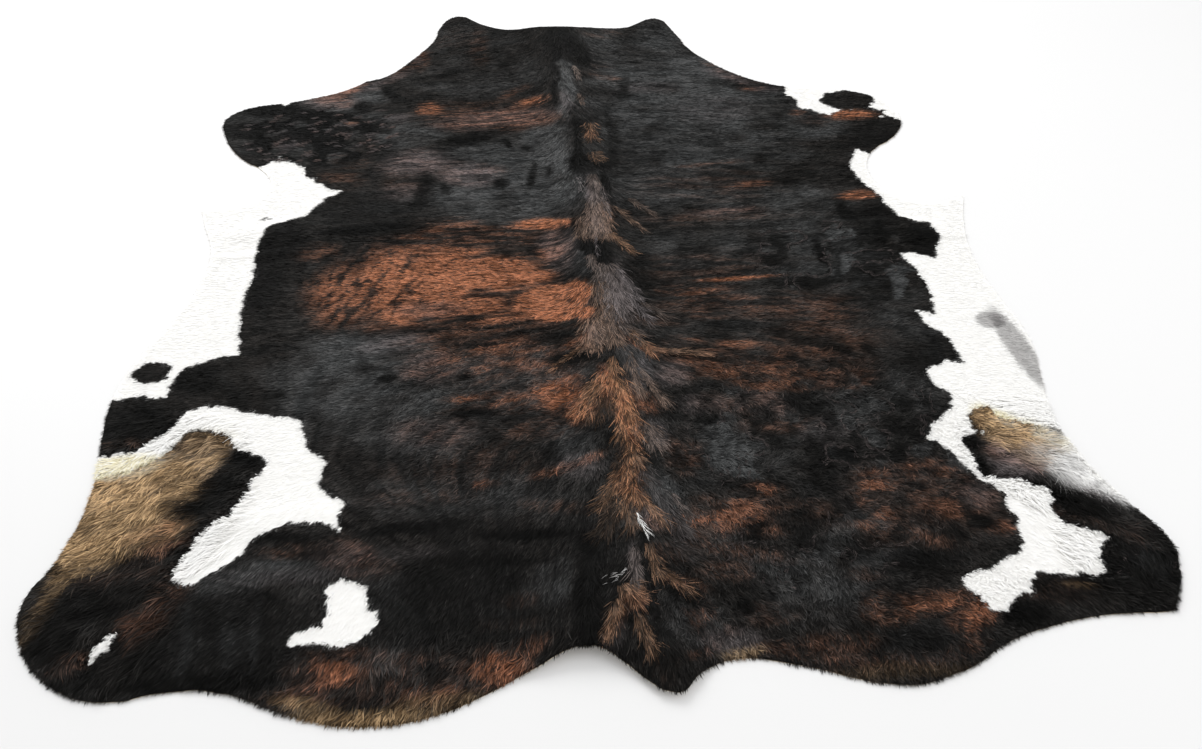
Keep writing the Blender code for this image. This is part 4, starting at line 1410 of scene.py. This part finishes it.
# Each size where the coat is sleek, and what is added to it where it is curly.
Growth = namedtuple("Growth", "sleek added_where_curly")
SHORT_HAIR = {
    "length": Growth(0.0135, -0.0010), "rise": Growth(0.0015, 0.0010),
    "ridge": Growth(0.0007, 0.0009), "pull": Growth(0.28, 0.12),
    "looseness": Growth(0.2, 0.35), "tone of locks": Growth(0.55, 0.55),
}
SHORT_WIDTH = 0.0023
SHORTEST = 0.004
STRAY_TURN = 0.13            # radians that a hair strays from its lock
SLEEK_LOCK = 0.010
CURLY_LOCK = 0.017
LOCK_REACH = 0.75            # a lock's ridge ends this many lock sizes from its middle
FLAT_IN_WHITE = 0.20         # white hair has this share of the coat's height
AT_BORDER = 0.60             # hair at the border of the white has this share of its length
BORDER_REACH = 0.03
SHOWN_PART = 0.40            # a strand takes its colour from this far along itself


def short_hair(size, curly):
    """One of the sizes of the short coat, by how curly the place is."""
    growth = SHORT_HAIR[size]
    return growth.sleek + growth.added_where_curly * curly


# %% Lay the short coat
def short_strands(x, y, seed):
    """Strands of the short coat: looser and curlier in places, and flat in the white."""
    rng = np.random.default_rng(seed)
    curly = curly_at(x, y)
    from_border = read_chart(white_depth, x, y)
    flat = np.where(from_border > 0, FLAT_IN_WHITE, 1.0)
    sleek_locks, curly_locks = locks_at(x, y, SLEEK_LOCK, 95), locks_at(x, y, CURLY_LOCK, 96)
    is_curly = rng.random(x.shape) < curly
    locks = Locks(*(np.where(is_curly, one, other)
                    for one, other in zip(curly_locks, sleek_locks)))
    size = np.where(is_curly, CURLY_LOCK, SLEEK_LOCK)
    middle = np.clip(1 - (locks.away / (LOCK_REACH * size)) ** 2, 0, 1)
    length = short_hair("length", curly) * rng.uniform(0.75, 1.25, x.shape)
    clear = smooth_step(np.abs(from_border), 0.0, BORDER_REACH)
    length = length * (AT_BORDER + (1 - AT_BORDER) * clear)
    reach = read_chart(edge_depth, x, y) + rng.uniform(-0.004, 0.006, x.shape)
    length = np.clip(length, SHORTEST, np.maximum(reach, SHORTEST))
    coat = Coat(
        length=length, width=SHORT_WIDTH * rng.uniform(0.7, 1.3, x.shape),
        base=rng.uniform(0.0003, 0.0013, x.shape),
        rise=flat * short_hair("rise", curly) * rng.uniform(0.6, 1.4, x.shape),
        ridge=flat * short_hair("ridge", curly) * middle,
        pull=flat * short_hair("pull", curly), curl=0.0, segments=1)
    loose = short_hair("looseness", curly)
    angle = hair_angle(x, y) + loose * locks.tone + rng.normal(0, STRAY_TURN, len(x))
    lock_angle = hair_angle(locks.x, locks.y) + loose * locks.tone
    locks = locks._replace(tone=locks.tone * short_hair("tone of locks", curly))
    shown_x = x + SHOWN_PART * length * np.cos(angle)
    shown_y = y + SHOWN_PART * length * np.sin(angle)
    return Strands(x, y, angle, lock_angle, coat, locks, marks_at(shown_x, shown_y))


def pick(region, x, y):
    return ((x >= region.x_from) & (x < region.x_to)
            & (y >= region.y_from) & (y < region.y_to))


hair_pieces = []
for number, (name, region) in enumerate(SHORT_COAT.items()):
    here = pick(region, root_x, root_y)
    strands = short_strands(root_x[here], root_y[here], 200 + number)
    hair_pieces.append(grow_hair(name, strands, 300 + number))

# %% [markdown]
# ## Long and curly hair
# The coat is longer on the thighs and the rump. These strands are bent strips. A thicket
# fills an ellipse with long hair that follows the lie.

# %% Thickets of long hair
Thicket = namedtuple("Thicket", "x y half_width half_height turn count length rise curl")
THICKETS = (
    Thicket(-0.88, -0.68, 0.17, 0.21, -20, 13000, 0.046, 0.0045, 0.9),
    Thicket(-0.93, -0.95, 0.13, 0.12, 0, 5000, 0.040, 0.0040, 0.8),
    Thicket(0.83, -0.66, 0.14, 0.13, -40, 8000, 0.040, 0.0045, 0.9),
    Thicket(0.92, -0.90, 0.12, 0.13, 0, 4500, 0.032, 0.0040, 1.2),
    Thicket(-0.35, -1.08, 0.34, 0.08, 0, 6000, 0.025, 0.0030, 0.8),
    Thicket(0.38, -0.98, 0.36, 0.17, 0, 13000, 0.015, 0.0028, 1.5),
    Thicket(0.38, -0.62, 0.38, 0.24, 0, 18000, 0.015, 0.0028, 1.8),
    Thicket(-0.20, -0.46, 0.26, 0.24, 0, 11000, 0.015, 0.0024, 1.2),
)
LONG_LOCK = 0.014
LONG_ENOUGH_TO_BEND = 0.020
LONG_WIDTH = 0.0019
LONG_SHORTEST = 0.006
LONG_LOOSENESS = 0.5
LONG_STRAY_TURN = 0.16       # radians that a long hair strays from its lock
LONG_RIDGE = 0.001
LONG_PULL = 0.45
CURL_OF_LOCKS = 0.8          # share of the curl that whole locks have
LONG_AT_BORDER = 0.12        # at the border of the white, long hair has this share of its length
LONG_BORDER_REACH = 0.040


def long_strands(x, y, angle, length, width, rise, curl, segments, marks, seed):
    """Bent strands in locks; without marks of their own they take those of the coat."""
    rng = np.random.default_rng(seed)
    locks = locks_at(x, y, LONG_LOCK, 97)
    loose = LONG_LOOSENESS * locks.tone
    reach = read_chart(edge_depth, x, y) + rng.uniform(-0.002, 0.006, x.shape)
    clear = smooth_step(np.abs(read_chart(white_depth, x, y)), 0.0, LONG_BORDER_REACH)
    length = length * (LONG_AT_BORDER + (1 - LONG_AT_BORDER) * clear)
    length = length * rng.uniform(0.6, 1.25, x.shape)
    length = np.clip(length, LONG_SHORTEST, np.maximum(reach, LONG_SHORTEST))
    coat = Coat(
        length=length, width=width * rng.uniform(0.7, 1.3, x.shape),
        base=rng.uniform(0.0008, 0.0022, x.shape), rise=rise * rng.uniform(0.5, 1.3, x.shape),
        ridge=LONG_RIDGE, pull=LONG_PULL,
        curl=curl * (CURL_OF_LOCKS * locks.tone + rng.normal(0, 0.35, x.shape)),
        segments=segments)
    own = angle + loose + rng.normal(0, LONG_STRAY_TURN, x.shape)
    if marks is None:
        shown_x = x + SHOWN_PART * coat.length * np.cos(own)
        shown_y = y + SHOWN_PART * coat.length * np.sin(own)
        marks = marks_at(shown_x, shown_y)
    return Strands(x, y, own, angle + loose, coat, locks, marks)


def thicket_strands(thicket, seed):
    """Long hair that fills a turned ellipse and follows the lie."""
    rng = np.random.default_rng(seed)
    far = np.sqrt(rng.random(thicket.count)) * rng.uniform(0.85, 1.15, thicket.count)
    way = rng.uniform(0, 2 * np.pi, thicket.count)
    across, along = far * np.cos(way), far * np.sin(way)
    turn = math.radians(thicket.turn)
    across, along = thicket.half_width * across, thicket.half_height * along
    x = thicket.x + across * math.cos(turn) - along * math.sin(turn)
    y = thicket.y + across * math.sin(turn) + along * math.cos(turn)
    kept = read_chart(leather_depth, x, y) > ROOT_MARGIN
    x, y = x[kept], y[kept]
    segments = 3 if thicket.length > LONG_ENOUGH_TO_BEND else 2
    return long_strands(x, y, hair_angle(x, y), thicket.length, LONG_WIDTH, thicket.rise,
                        thicket.curl, segments, None, seed + 50)


for number, thicket in enumerate(THICKETS):
    strands = thicket_strands(thicket, 400 + number)
    hair_pieces.append(grow_hair("long_hair_" + str(number + 1), strands, 500 + number))

# %% [markdown]
# ## The crest along the spine
# Along the spine and the tail the coat stands up in a crest of mixed red, grey and black
# hair. It is made of tufts: the hair of a tuft is rooted along a short line, points the way
# the line runs and fans out from it.

# %% Tufts along the spine
# A row is the two ends of the line, the tuft's width and its hair's length in millimetres,
# then the fan in degrees, the count of hairs, and how red, grey, dark and white they are.
Tuft = namedtuple("Tuft", "x1 y1 x2 y2 width length fan count red grey dark white",
                  defaults=(0,))
TUFT_LENGTHS = 6             # the first columns are lengths
TUFTS = (
    # neck
    (-35, 1015, -30, 885, 35, 28, 40, 500, 0, 0.05, 0.8),
    (15, 990, 20, 860, 18, 28, 30, 250, 0, 0, 0.9),
    (-70, 865, -65, 655, 9, 24, 22, 220, 0, 0.05, 0.7),
    (-10, 845, 5, 770, 6, 24, 12, 90, 0.45, 0.6, 0, 0.05),
    (0, 695, 5, 640, 8, 20, 20, 70, 0.4, 0.5, 0),
    (-10, 570, -5, 495, 13, 24, 30, 200, 0, 0, 1),
    (20, 550, 20, 465, 16, 24, 40, 170, 0.7, 0.05, 0),
    (-20, 475, -20, 395, 8, 24, 30, 110, 0, 0, 0.9),
    (-25, 395, -10, 320, 23, 26, 60, 360, 0, 0, 1),
    (20, 410, 35, 365, 13, 24, 50, 130, 0.5, 0, 0.1),
    (30, 370, 50, 335, 13, 24, 40, 150, 0, 0, 1),
    (-30, 305, -15, 235, 10, 20, 12, 40, 0, 0.9, 0, 0.05),
    # withers
    (15, 310, 15, 195, 10, 32, 15, 380, 0.3, 0.6, 0),
    (15, 200, 5, 60, 22, 34, 22, 950, 0.5, 0.5, 0),
    (35, 260, 40, 140, 7, 30, 12, 220, 0.1, 0.8, 0),
    (35, 160, 30, 50, 15, 30, 25, 380, 0.65, 0.35, 0),
    (-20, 145, -25, 60, 15, 30, 25, 240, 0.5, 0.35, 0),
    (50, 305, 45, 220, 10, 28, 20, 180, 0, 0, 0.9),
    (55, 180, 120, 85, 5, 28, 8, 170, 0.5, 0.2, 0),
    (95, 210, 150, 140, 5, 28, 8, 140, 0.35, 0.35, 0),
    (40, 75, 90, 0, 10, 26, 12, 220, 0.75, 0.05, 0),
    (-15, 55, -5, 0, 14, 26, 35, 260, 0, 0, 1),
    (20, 50, 20, -40, 14, 28, 30, 320, 0, 0, 1),
    (5, 60, 5, -15, 2, 24, 8, 36, 0, 0.9, 0, 0.05),
    (-10, -5, -5, -60, 9, 26, 30, 130, 0.3, 0.5, 0),
    # back
    (15, -40, 20, -170, 21, 34, 30, 650, 0.2, 0.5, 0),
    (35, -70, 45, -230, 23, 36, 35, 1050, 0.1, 0.7, 0),
    (50, -60, 90, -160, 7, 36, 20, 190, 0, 0.9, 0),
    (65, -140, 105, -235, 7, 36, 25, 180, 0, 0.75, 0),
    (0, -100, 5, -230, 14, 32, 25, 420, 0.5, 0.25, 0.2),
    (15, -185, 20, -310, 19, 34, 30, 580, 0.6, 0.4, 0),
    (-20, -225, -25, -325, 25, 32, 35, 560, 0.7, 0.45, 0),
    (90, -175, 140, -230, 7, 32, 20, 120, 0.2, 0.35, 0),
    (40, -240, 80, -300, 13, 34, 25, 300, 0.25, 0.5, 0),
    # loins
    (50, -265, 100, -335, 9, 34, 10, 340, 0.8, 0.15, 0),
    (100, -330, 210, -350, 6, 34, 10, 280, 0.65, 0.2, 0),
    (40, -315, 60, -400, 15, 34, 20, 260, 0, 0.25, 0.3),
    (50, -335, 110, -490, 4, 34, 8, 240, 0.5, 0.45, 0),
    (70, -400, 120, -485, 6, 34, 12, 170, 0.35, 0.35, 0),
    (-45, -315, -110, -375, 4, 26, 10, 140, 0.8, 0.05, 0),
    (-10, -335, -95, -365, 13, 30, 20, 380, 0, 0, 1),
    (15, -350, 15, -435, 8, 34, 20, 300, 1, 0, 0),
    (0, -400, -60, -505, 19, 34, 20, 680, 0.9, 0, 0),
    (20, -420, 35, -545, 19, 34, 22, 860, 1, 0, 0),
    (5, -435, -5, -510, 10, 32, 25, 250, 0.3, 0, 0.6),
    (-20, -460, -30, -525, 12, 32, 30, 200, 0.4, 0, 0.4),
    (50, -365, 65, -465, 8, 34, 18, 270, 0.5, 0.3, 0),
    # towards the tail
    (25, -540, 20, -585, 12, 32, 35, 220, 0.95, 0, 0),
    (40, -545, 50, -580, 8, 30, 30, 120, 0.8, 0.1, 0),
    (25, -570, 15, -605, 10, 28, 35, 120, 0.1, 0, 0.8),
    (35, -590, 35, -635, 12, 32, 35, 220, 1, 0, 0),
    (20, -620, 5, -655, 10, 28, 35, 130, 0.2, 0, 0.8),
    (40, -620, 45, -650, 8, 28, 30, 110, 0.6, 0.2, 0),
    (25, -640, 20, -685, 12, 32, 35, 210, 0.95, 0, 0),
    (35, -665, 40, -700, 8, 28, 30, 110, 0.1, 0, 0.8),
    (10, -665, -10, -710, 12, 30, 30, 200, 0.75, 0, 0),
    (25, -690, 20, -735, 11, 32, 35, 210, 0.9, 0, 0),
    (10, -715, -5, -750, 9, 28, 30, 130, 0.2, 0, 0.7),
    (35, -710, 45, -755, 10, 30, 30, 180, 0.75, 0, 0),
    (-10, -700, -35, -750, 11, 30, 30, 200, 0.55, 0, 0.2),
    (15, -730, 5, -765, 9, 28, 30, 140, 0.65, 0, 0),
    (45, -740, 75, -790, 8, 32, 18, 230, 0.8, 0.1, 0),
    (65, -535, 85, -605, 18, 34, 30, 420, 0.35, 0.45, 0),
    (50, -660, 80, -740, 15, 34, 15, 350, 0, 0.3, 0.1),
    (70, -720, 115, -820, 15, 34, 12, 420, 0, 0.35, 0),
    (95, -715, 130, -780, 6, 30, 15, 150, 0.2, 0.6, 0),
    (0, -750, -40, -815, 15, 34, 30, 350, 0.2, 0, 0.7),
    (15, -765, 20, -805, 9, 30, 25, 160, 0.4, 0, 0.3),
    # tail
    (-30, -815, -60, -870, 15, 34, 30, 350, 0, 0, 1),
    (-60, -870, -70, -950, 14, 34, 30, 350, 0, 0, 1),
    (-70, -950, -75, -1050, 16, 34, 30, 400, 0, 0, 1),
    (35, -820, 35, -905, 3, 30, 5, 170, 0, 0, 1),
    (35, -905, 40, -980, 3, 30, 5, 150, 0, 0, 1),
    (40, -980, 50, -1080, 4, 32, 8, 210, 0, 0, 1),
    (20, -850, 15, -930, 7, 34, 18, 270, 0.15, 0.55, 0),
    (-5, -930, 20, -965, 16, 28, 45, 340, 0.85, 0.25, 0),
    (-20, -965, -40, -1035, 9, 30, 20, 250, 0.75, 0.1, 0),
    (45, -845, 55, -910, 9, 32, 20, 260, 0.6, 0.05, 0),
    (55, -900, 110, -945, 7, 32, 15, 230, 0.55, 0.05, 0.1),
    (90, -840, 120, -870, 11, 30, 25, 170, 0, 0.15, 0.4),
    (110, -965, 135, -980, 7, 28, 20, 130, 0, 0, 1),
    (55, -1020, 60, -1100, 10, 32, 20, 220, 0, 0, 0.8),
    (15, -990, 30, -1060, 10, 32, 25, 260, 0.6, 0.05, 0.1),
)
print("tufts:", len(TUFTS))

# %% Grow the crest
FAN_SIDES = 2.0
TUFT_OWN = 0.60              # how far a tuft has its own colours and not those of the coat
TUFT_RED = 0.85
GOLD_IN_RED = 0.30           # share of gold that goes with red
TuftShade = namedtuple("TuftShade", "plain grey dark clumps")
TUFT_SHADE = TuftShade(plain=1.65, grey=0.5, dark=1.5, clumps=0.75)
CREST_WIDTH = 0.0015
CREST_RISE = 0.0030
CREST_CURL = 0.5


def tuft_strands(tuft, rng):
    """Roots, directions, lengths and marks of the hair of one tuft."""
    share, side = rng.random(tuft.count), rng.normal(0, 1, tuft.count).clip(-2, 2)
    run_x, run_y = tuft.x2 - tuft.x1, tuft.y2 - tuft.y1
    run = math.hypot(run_x, run_y)
    x = tuft.x1 + share * run_x - side * tuft.width / FAN_SIDES * run_y / run
    y = tuft.y1 + share * run_y + side * tuft.width / FAN_SIDES * run_x / run
    angle = math.atan2(run_y, run_x) + math.radians(tuft.fan) * side / FAN_SIDES
    own_shade = TUFT_SHADE.plain + TUFT_SHADE.grey * tuft.grey - TUFT_SHADE.dark * tuft.dark
    own_shade = own_shade * (1 + TUFT_SHADE.clumps * noise("clumps in a tuft", x, y))
    own = Marks(TUFT_RED * tuft.red, 0.0, tuft.grey, GOLD_IN_RED * tuft.red, tuft.white, own_shade)
    vary = rng.uniform(0.4, 1.5, tuft.count)
    marks = Marks(*(TUFT_OWN * mine * vary + (1 - TUFT_OWN) * theirs
                    for mine, theirs in zip(own, marks_at(x, y))))
    return x, y, angle, tuft.length * rng.uniform(0.5, 1.15, tuft.count), marks


def joined_columns(rows):
    """The columns of several tables, each joined end to end."""
    return (np.concatenate(column) for column in zip(*rows))


tuft_rng = np.random.default_rng(600)
grown = [tuft_strands(in_metres(Tuft, row, TUFT_LENGTHS), tuft_rng) for row in TUFTS]
x, y, angle, length = joined_columns(tuft[:4] for tuft in grown)
marks = Marks(*joined_columns(tuft[4] for tuft in grown))
strands = long_strands(
    x, y, angle, length, CREST_WIDTH, CREST_RISE, CREST_CURL, 2, marks, 601)
hair_pieces.append(grow_hair("spine_crest", strands, 602))

# %% [markdown]
# ## White wisps
# A few thin wisps of white hair lie over the dark coat at the tail and the withers. Each
# follows a bent line, so it is charted as a few points that the hairs run along.

# %% Hair that lies loose on the coat
Loose = namedtuple("Loose", "width base rise segments")     # sizes in metres
WISP_HAIR = Loose(0.0009, 0.0035, 0.0025, 2)
CURL_HAIR = Loose(0.0013, 0.0032, 0.0020, 1)
FLECK_HAIR = Loose(0.0018, 0.0022, 0.0020, 1)


def loose_strands(x, y, angle, length, hair, curl, red, grey, white, shade):
    """Strands that lie over the coat and belong to no lock."""
    none = np.zeros(len(x))
    coat = Coat(length, hair.width, hair.base, hair.rise, 0.0, 0.0, curl, hair.segments)
    marks = Marks(none + red, none, none + grey, none, none + white, shade)
    return Strands(x, y, angle, angle, coat, Locks(x, y, none, none), marks)


def joined(groups):
    """Strands of several groups in one, so that they make one piece."""
    coats = ([np.broadcast_to(value, len(group.x)) for value in group.coat[:-1]]
             for group in groups)
    coat = Coat(*joined_columns(coats), groups[0].coat.segments)
    locks = Locks(*joined_columns(group.locks for group in groups))
    marks = Marks(*joined_columns(group.marks for group in groups))
    return Strands(*joined_columns(group[:4] for group in groups), coat, locks, marks)


# %% Wisps along bent lines
Line = namedtuple("Line", "points grey red white spread length gap")
LINES = {
    "wisp at the tail": Line(
        ((0.030, -0.772), (0.033, -0.795), (0.044, -0.822)), 0.6, 0, 0.9, 0.0020, 0.022, 0.0019),
    "wisp beside the tail": Line(
        ((0.003, -0.896), (-0.010, -0.912), (-0.028, -0.922)), 0.6, 0, 0.35, 0.0028, 0.016, 0.0022),
    "withers": Line(
        ((0.006, 0.062), (0.005, 0.030), (0.008, -0.010)), 0.8, 0, 0, 0.0016, 0.020, 0.0035),
}
PAST_THE_END = 0.4           # share of its length that a hair may run past the line's end


def line_strands(line, seed):
    """Hair that follows a bent line: each strand is rooted on it and points along it."""
    rng = np.random.default_rng(seed)
    points = np.array(line.points)
    steps = np.hypot(*np.diff(points, axis=0).T)
    reach = np.concatenate([[0], np.cumsum(steps)])
    count = round(reach[-1] / line.gap)
    start = rng.uniform(0, reach[-1], count)
    end = np.minimum(start + line.length, reach[-1] + PAST_THE_END * line.length)
    x, y = (np.interp(start, reach, axis) for axis in points.T)
    end_x, end_y = (np.interp(end, reach, axis) for axis in points.T)
    angle = np.arctan2(end_y - y, end_x - x) + rng.normal(0, 0.18, count)
    spread = line.spread * (0.4 + 1.6 * start / reach[-1])
    x, y = x + spread * rng.normal(0, 1, count), y + spread * rng.normal(0, 1, count)
    return loose_strands(
        x, y, angle, line.length * rng.uniform(0.7, 1.1, count), WISP_HAIR,
        rng.normal(0, 0.15, count), line.red, line.grey, line.white,
        rng.uniform(0.8, 1.6, count))


wisps = [line_strands(line, 620 + number) for number, line in enumerate(LINES.values())]
hair_pieces.append(grow_hair("white_wisps", joined(wisps), 640))

# %% [markdown]
# ## Winding curls
# On the curly parts the coat winds in little ridges with furrows beside them; the grey on
# the ridges is painted highlight and the dark in the furrows painted shade. A smooth noise
# is nothing along winding lines, so short hairs are laid along those lines, grey ones on
# them and dark ones just to one side.

# %% Curls along the winding noise
CurlKind = namedtuple("CurlKind", "off_from off_to grey red shade share")
# The first kind is painted highlight on the ridges, the second painted shade in the furrows.
CURL_KINDS = (
    CurlKind(-0.0036, 0.0036, 0.42, 0.14, 0.72, 0.6), CurlKind(0.0034, 0.0075, 0, 0, 0.15, 0.5),
)
CURL_ROOTS = 130000          # roots tried for each square metre, most of them left out
SLOPE_STEP = 0.0015          # the noise's slope is measured over this far each way
CURLS_SHOW = -0.15           # and curls are left out where another noise is less than this
CLEAR_OF_WHITE = 0.004
CURL_LENGTH = 0.010


def curl_strands(spot, kind, seed):
    """Short hair along the zero lines of the winding noise, or just beside them."""
    rng = np.random.default_rng(seed)
    count = round(CURL_ROOTS * 4 * spot.half_width * spot.half_height)
    x = spot.x + spot.half_width * rng.uniform(-1, 1, count)
    y = spot.y + spot.half_height * rng.uniform(-1, 1, count)
    run = 2 * SLOPE_STEP
    slope_x = (noise("winding", x + SLOPE_STEP, y) - noise("winding", x - SLOPE_STEP, y)) / run
    slope_y = (noise("winding", x, y + SLOPE_STEP) - noise("winding", x, y - SLOPE_STEP)) / run
    off = noise("winding", x, y) / np.hypot(slope_x, slope_y)
    kept = (off > kind.off_from) & (off < kind.off_to) & (rng.random(count) < kind.share)
    kept &= noise("where curls show", x, y) > CURLS_SHOW
    kept &= rng.random(count) < inside_spot(spot, x, y)
    kept &= read_chart(white_depth, x, y) < -CLEAR_OF_WHITE
    x, y, angle = x[kept], y[kept], np.arctan2(slope_x, -slope_y)[kept]
    return loose_strands(
        x, y, angle + rng.normal(0, 0.15, len(x)), CURL_LENGTH * rng.uniform(0.7, 1.2, len(x)),
        CURL_HAIR, 0.0, kind.red, kind.grey, 0, kind.shade * rng.uniform(0.6, 1.5, len(x)))


curls = [curl_strands(spot, kind, 660 + number)
         for number, spot in enumerate(CURLED) for kind in CURL_KINDS]
hair_pieces.append(grow_hair("winding_curls", joined(curls), 641))

# %% [markdown]
# ## Pale flecks
# The black coat on the left shoulder is flecked with small pale tufts. They are too many
# and too alike to chart one by one, so they are scattered over an ellipse.

# %% Flecks on the left shoulder
FLECKED = Spot(-0.70, 0.55, 0.24, 0.13, -12)
Fleck = namedtuple("Fleck", "count hairs half_length half_width length grey")
FLECKS = Fleck(70, 34, 0.012, 0.005, 0.010, 0.45)


def fleck_strands(spot, flecks, seed):
    """Small pale tufts scattered over a black part of the coat."""
    rng = np.random.default_rng(seed)
    far, way = np.sqrt(rng.random(flecks.count)), rng.uniform(0, 2 * np.pi, flecks.count)
    middle_x = spot.x + spot.half_width * far * np.cos(way)
    middle_y = spot.y + spot.half_height * far * np.sin(way)
    size, lean = rng.uniform(0.4, 1.3, flecks.count), rng.normal(0.35, 0.30, flecks.count)
    brown = rng.uniform(0.0, 0.45, flecks.count)

    def each_hair(values):
        return np.repeat(values, flecks.hairs)
    along, across = rng.normal(0, 0.6, (2, flecks.count * flecks.hairs))
    along = along * flecks.half_length * each_hair(size)
    across = across * flecks.half_width * each_hair(size)
    turn = each_hair(lean)
    x = each_hair(middle_x) + along * np.cos(turn) - across * np.sin(turn)
    y = each_hair(middle_y) + along * np.sin(turn) + across * np.cos(turn)
    return loose_strands(
        x, y, hair_angle(x, y) + rng.normal(0, 0.12, x.shape),
        flecks.length * rng.uniform(0.6, 1.1, x.shape), FLECK_HAIR, 0.0, each_hair(brown),
        flecks.grey, 0, rng.uniform(0.5, 1.2, x.shape))


hair_pieces.append(grow_hair("pale_flecks", fleck_strands(FLECKED, FLECKS, 645), 646))
total = sum(len(piece.data.polygons) for piece in hair_pieces) + 2 * len(leather.data.polygons)
print("triangles in all:", total)

# %% [markdown]
# ## One body
# The leather takes the place of the imported hide, which is hidden, and all hair lies on it.
# Every piece hangs from the one empty of the rug's body.

# %% Hang every piece from the rug's body and hide the imported solid
for piece in [leather, *hair_pieces]:
    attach(piece, "root")
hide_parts("hide")

# %% [markdown]
# ## Floor, light and camera
# The rug lies on a plain pale floor in soft light that comes from beyond its neck, so that
# every fold has its shaded side towards the camera. The camera stands behind the tail at
# eye height and looks down at the hide.

# %% The floor
FLOOR_SIZE = 30
FLOOR_COLOUR = (0.78, 0.78, 0.78, 1)
FLOOR_ROUGHNESS = 0.8
bpy.ops.mesh.primitive_plane_add(size=FLOOR_SIZE, location=(0, 0, 0))
floor = bpy.context.object
floor.name = "floor"
floor_finish, _, floor_shader = new_material("pale_floor")
floor_shader.inputs["Base Color"].default_value = FLOOR_COLOUR
floor_shader.inputs["Roughness"].default_value = FLOOR_ROUGHNESS
floor.data.materials.append(floor_finish)

# %% Soft light
Lamp = namedtuple("Lamp", "place size power")
LAMPS = (Lamp((-1.6, 3.2, 3.0), 2.6, 130), Lamp((2.6, -1.4, 3.0), 3.0, 30))
SKY_COLOUR = (1, 1, 1, 1)
SKY_STRENGTH = 0.85


def soft_lamp(lamp):
    """A square lamp that faces the middle of the hide."""
    light = bpy.data.lights.new("soft_lamp", "AREA")
    light.shape = "SQUARE"
    light.size = lamp.size
    light.energy = lamp.power
    stand = bpy.data.objects.new("soft_lamp", light)
    stand.location = lamp.place
    stand.rotation_euler = (-Vector(lamp.place)).to_track_quat("-Z", "Y").to_euler()
    bpy.context.scene.collection.objects.link(stand)


for lamp in LAMPS:
    soft_lamp(lamp)
world = bpy.data.worlds.new("studio")
world.use_nodes = True
sky = world.node_tree.nodes["Background"]
sky.inputs["Color"].default_value = SKY_COLOUR
sky.inputs["Strength"].default_value = SKY_STRENGTH
bpy.context.scene.world = world
bpy.context.scene.view_settings.view_transform = "Standard"

# %% Camera
PHOTO_WIDTH = 1202
FOCAL_PIXELS = 1100
SENSOR = 36.0                # millimetres, the width of the camera's sensor
EYE = Vector((-0.1184, -2.012, 1.680))      # from the middle of the spine
LOOKS_DOWN = 46.0            # degrees
TURNED = -3.787              # degrees, to the right of the spine

lens = bpy.data.cameras.new("camera")
lens.sensor_width = SENSOR
lens.lens = SENSOR * FOCAL_PIXELS / PHOTO_WIDTH
camera = bpy.data.objects.new("camera", lens)
camera.location = EYE + Vector((SPINE_X, MIDDLE_Y, 0))
camera.rotation_euler = (math.radians(90 - LOOKS_DOWN), 0, math.radians(TURNED))
bpy.context.scene.collection.objects.link(camera)
bpy.context.scene.camera = camera
print("lens:", round(lens.lens, 2), "mm")
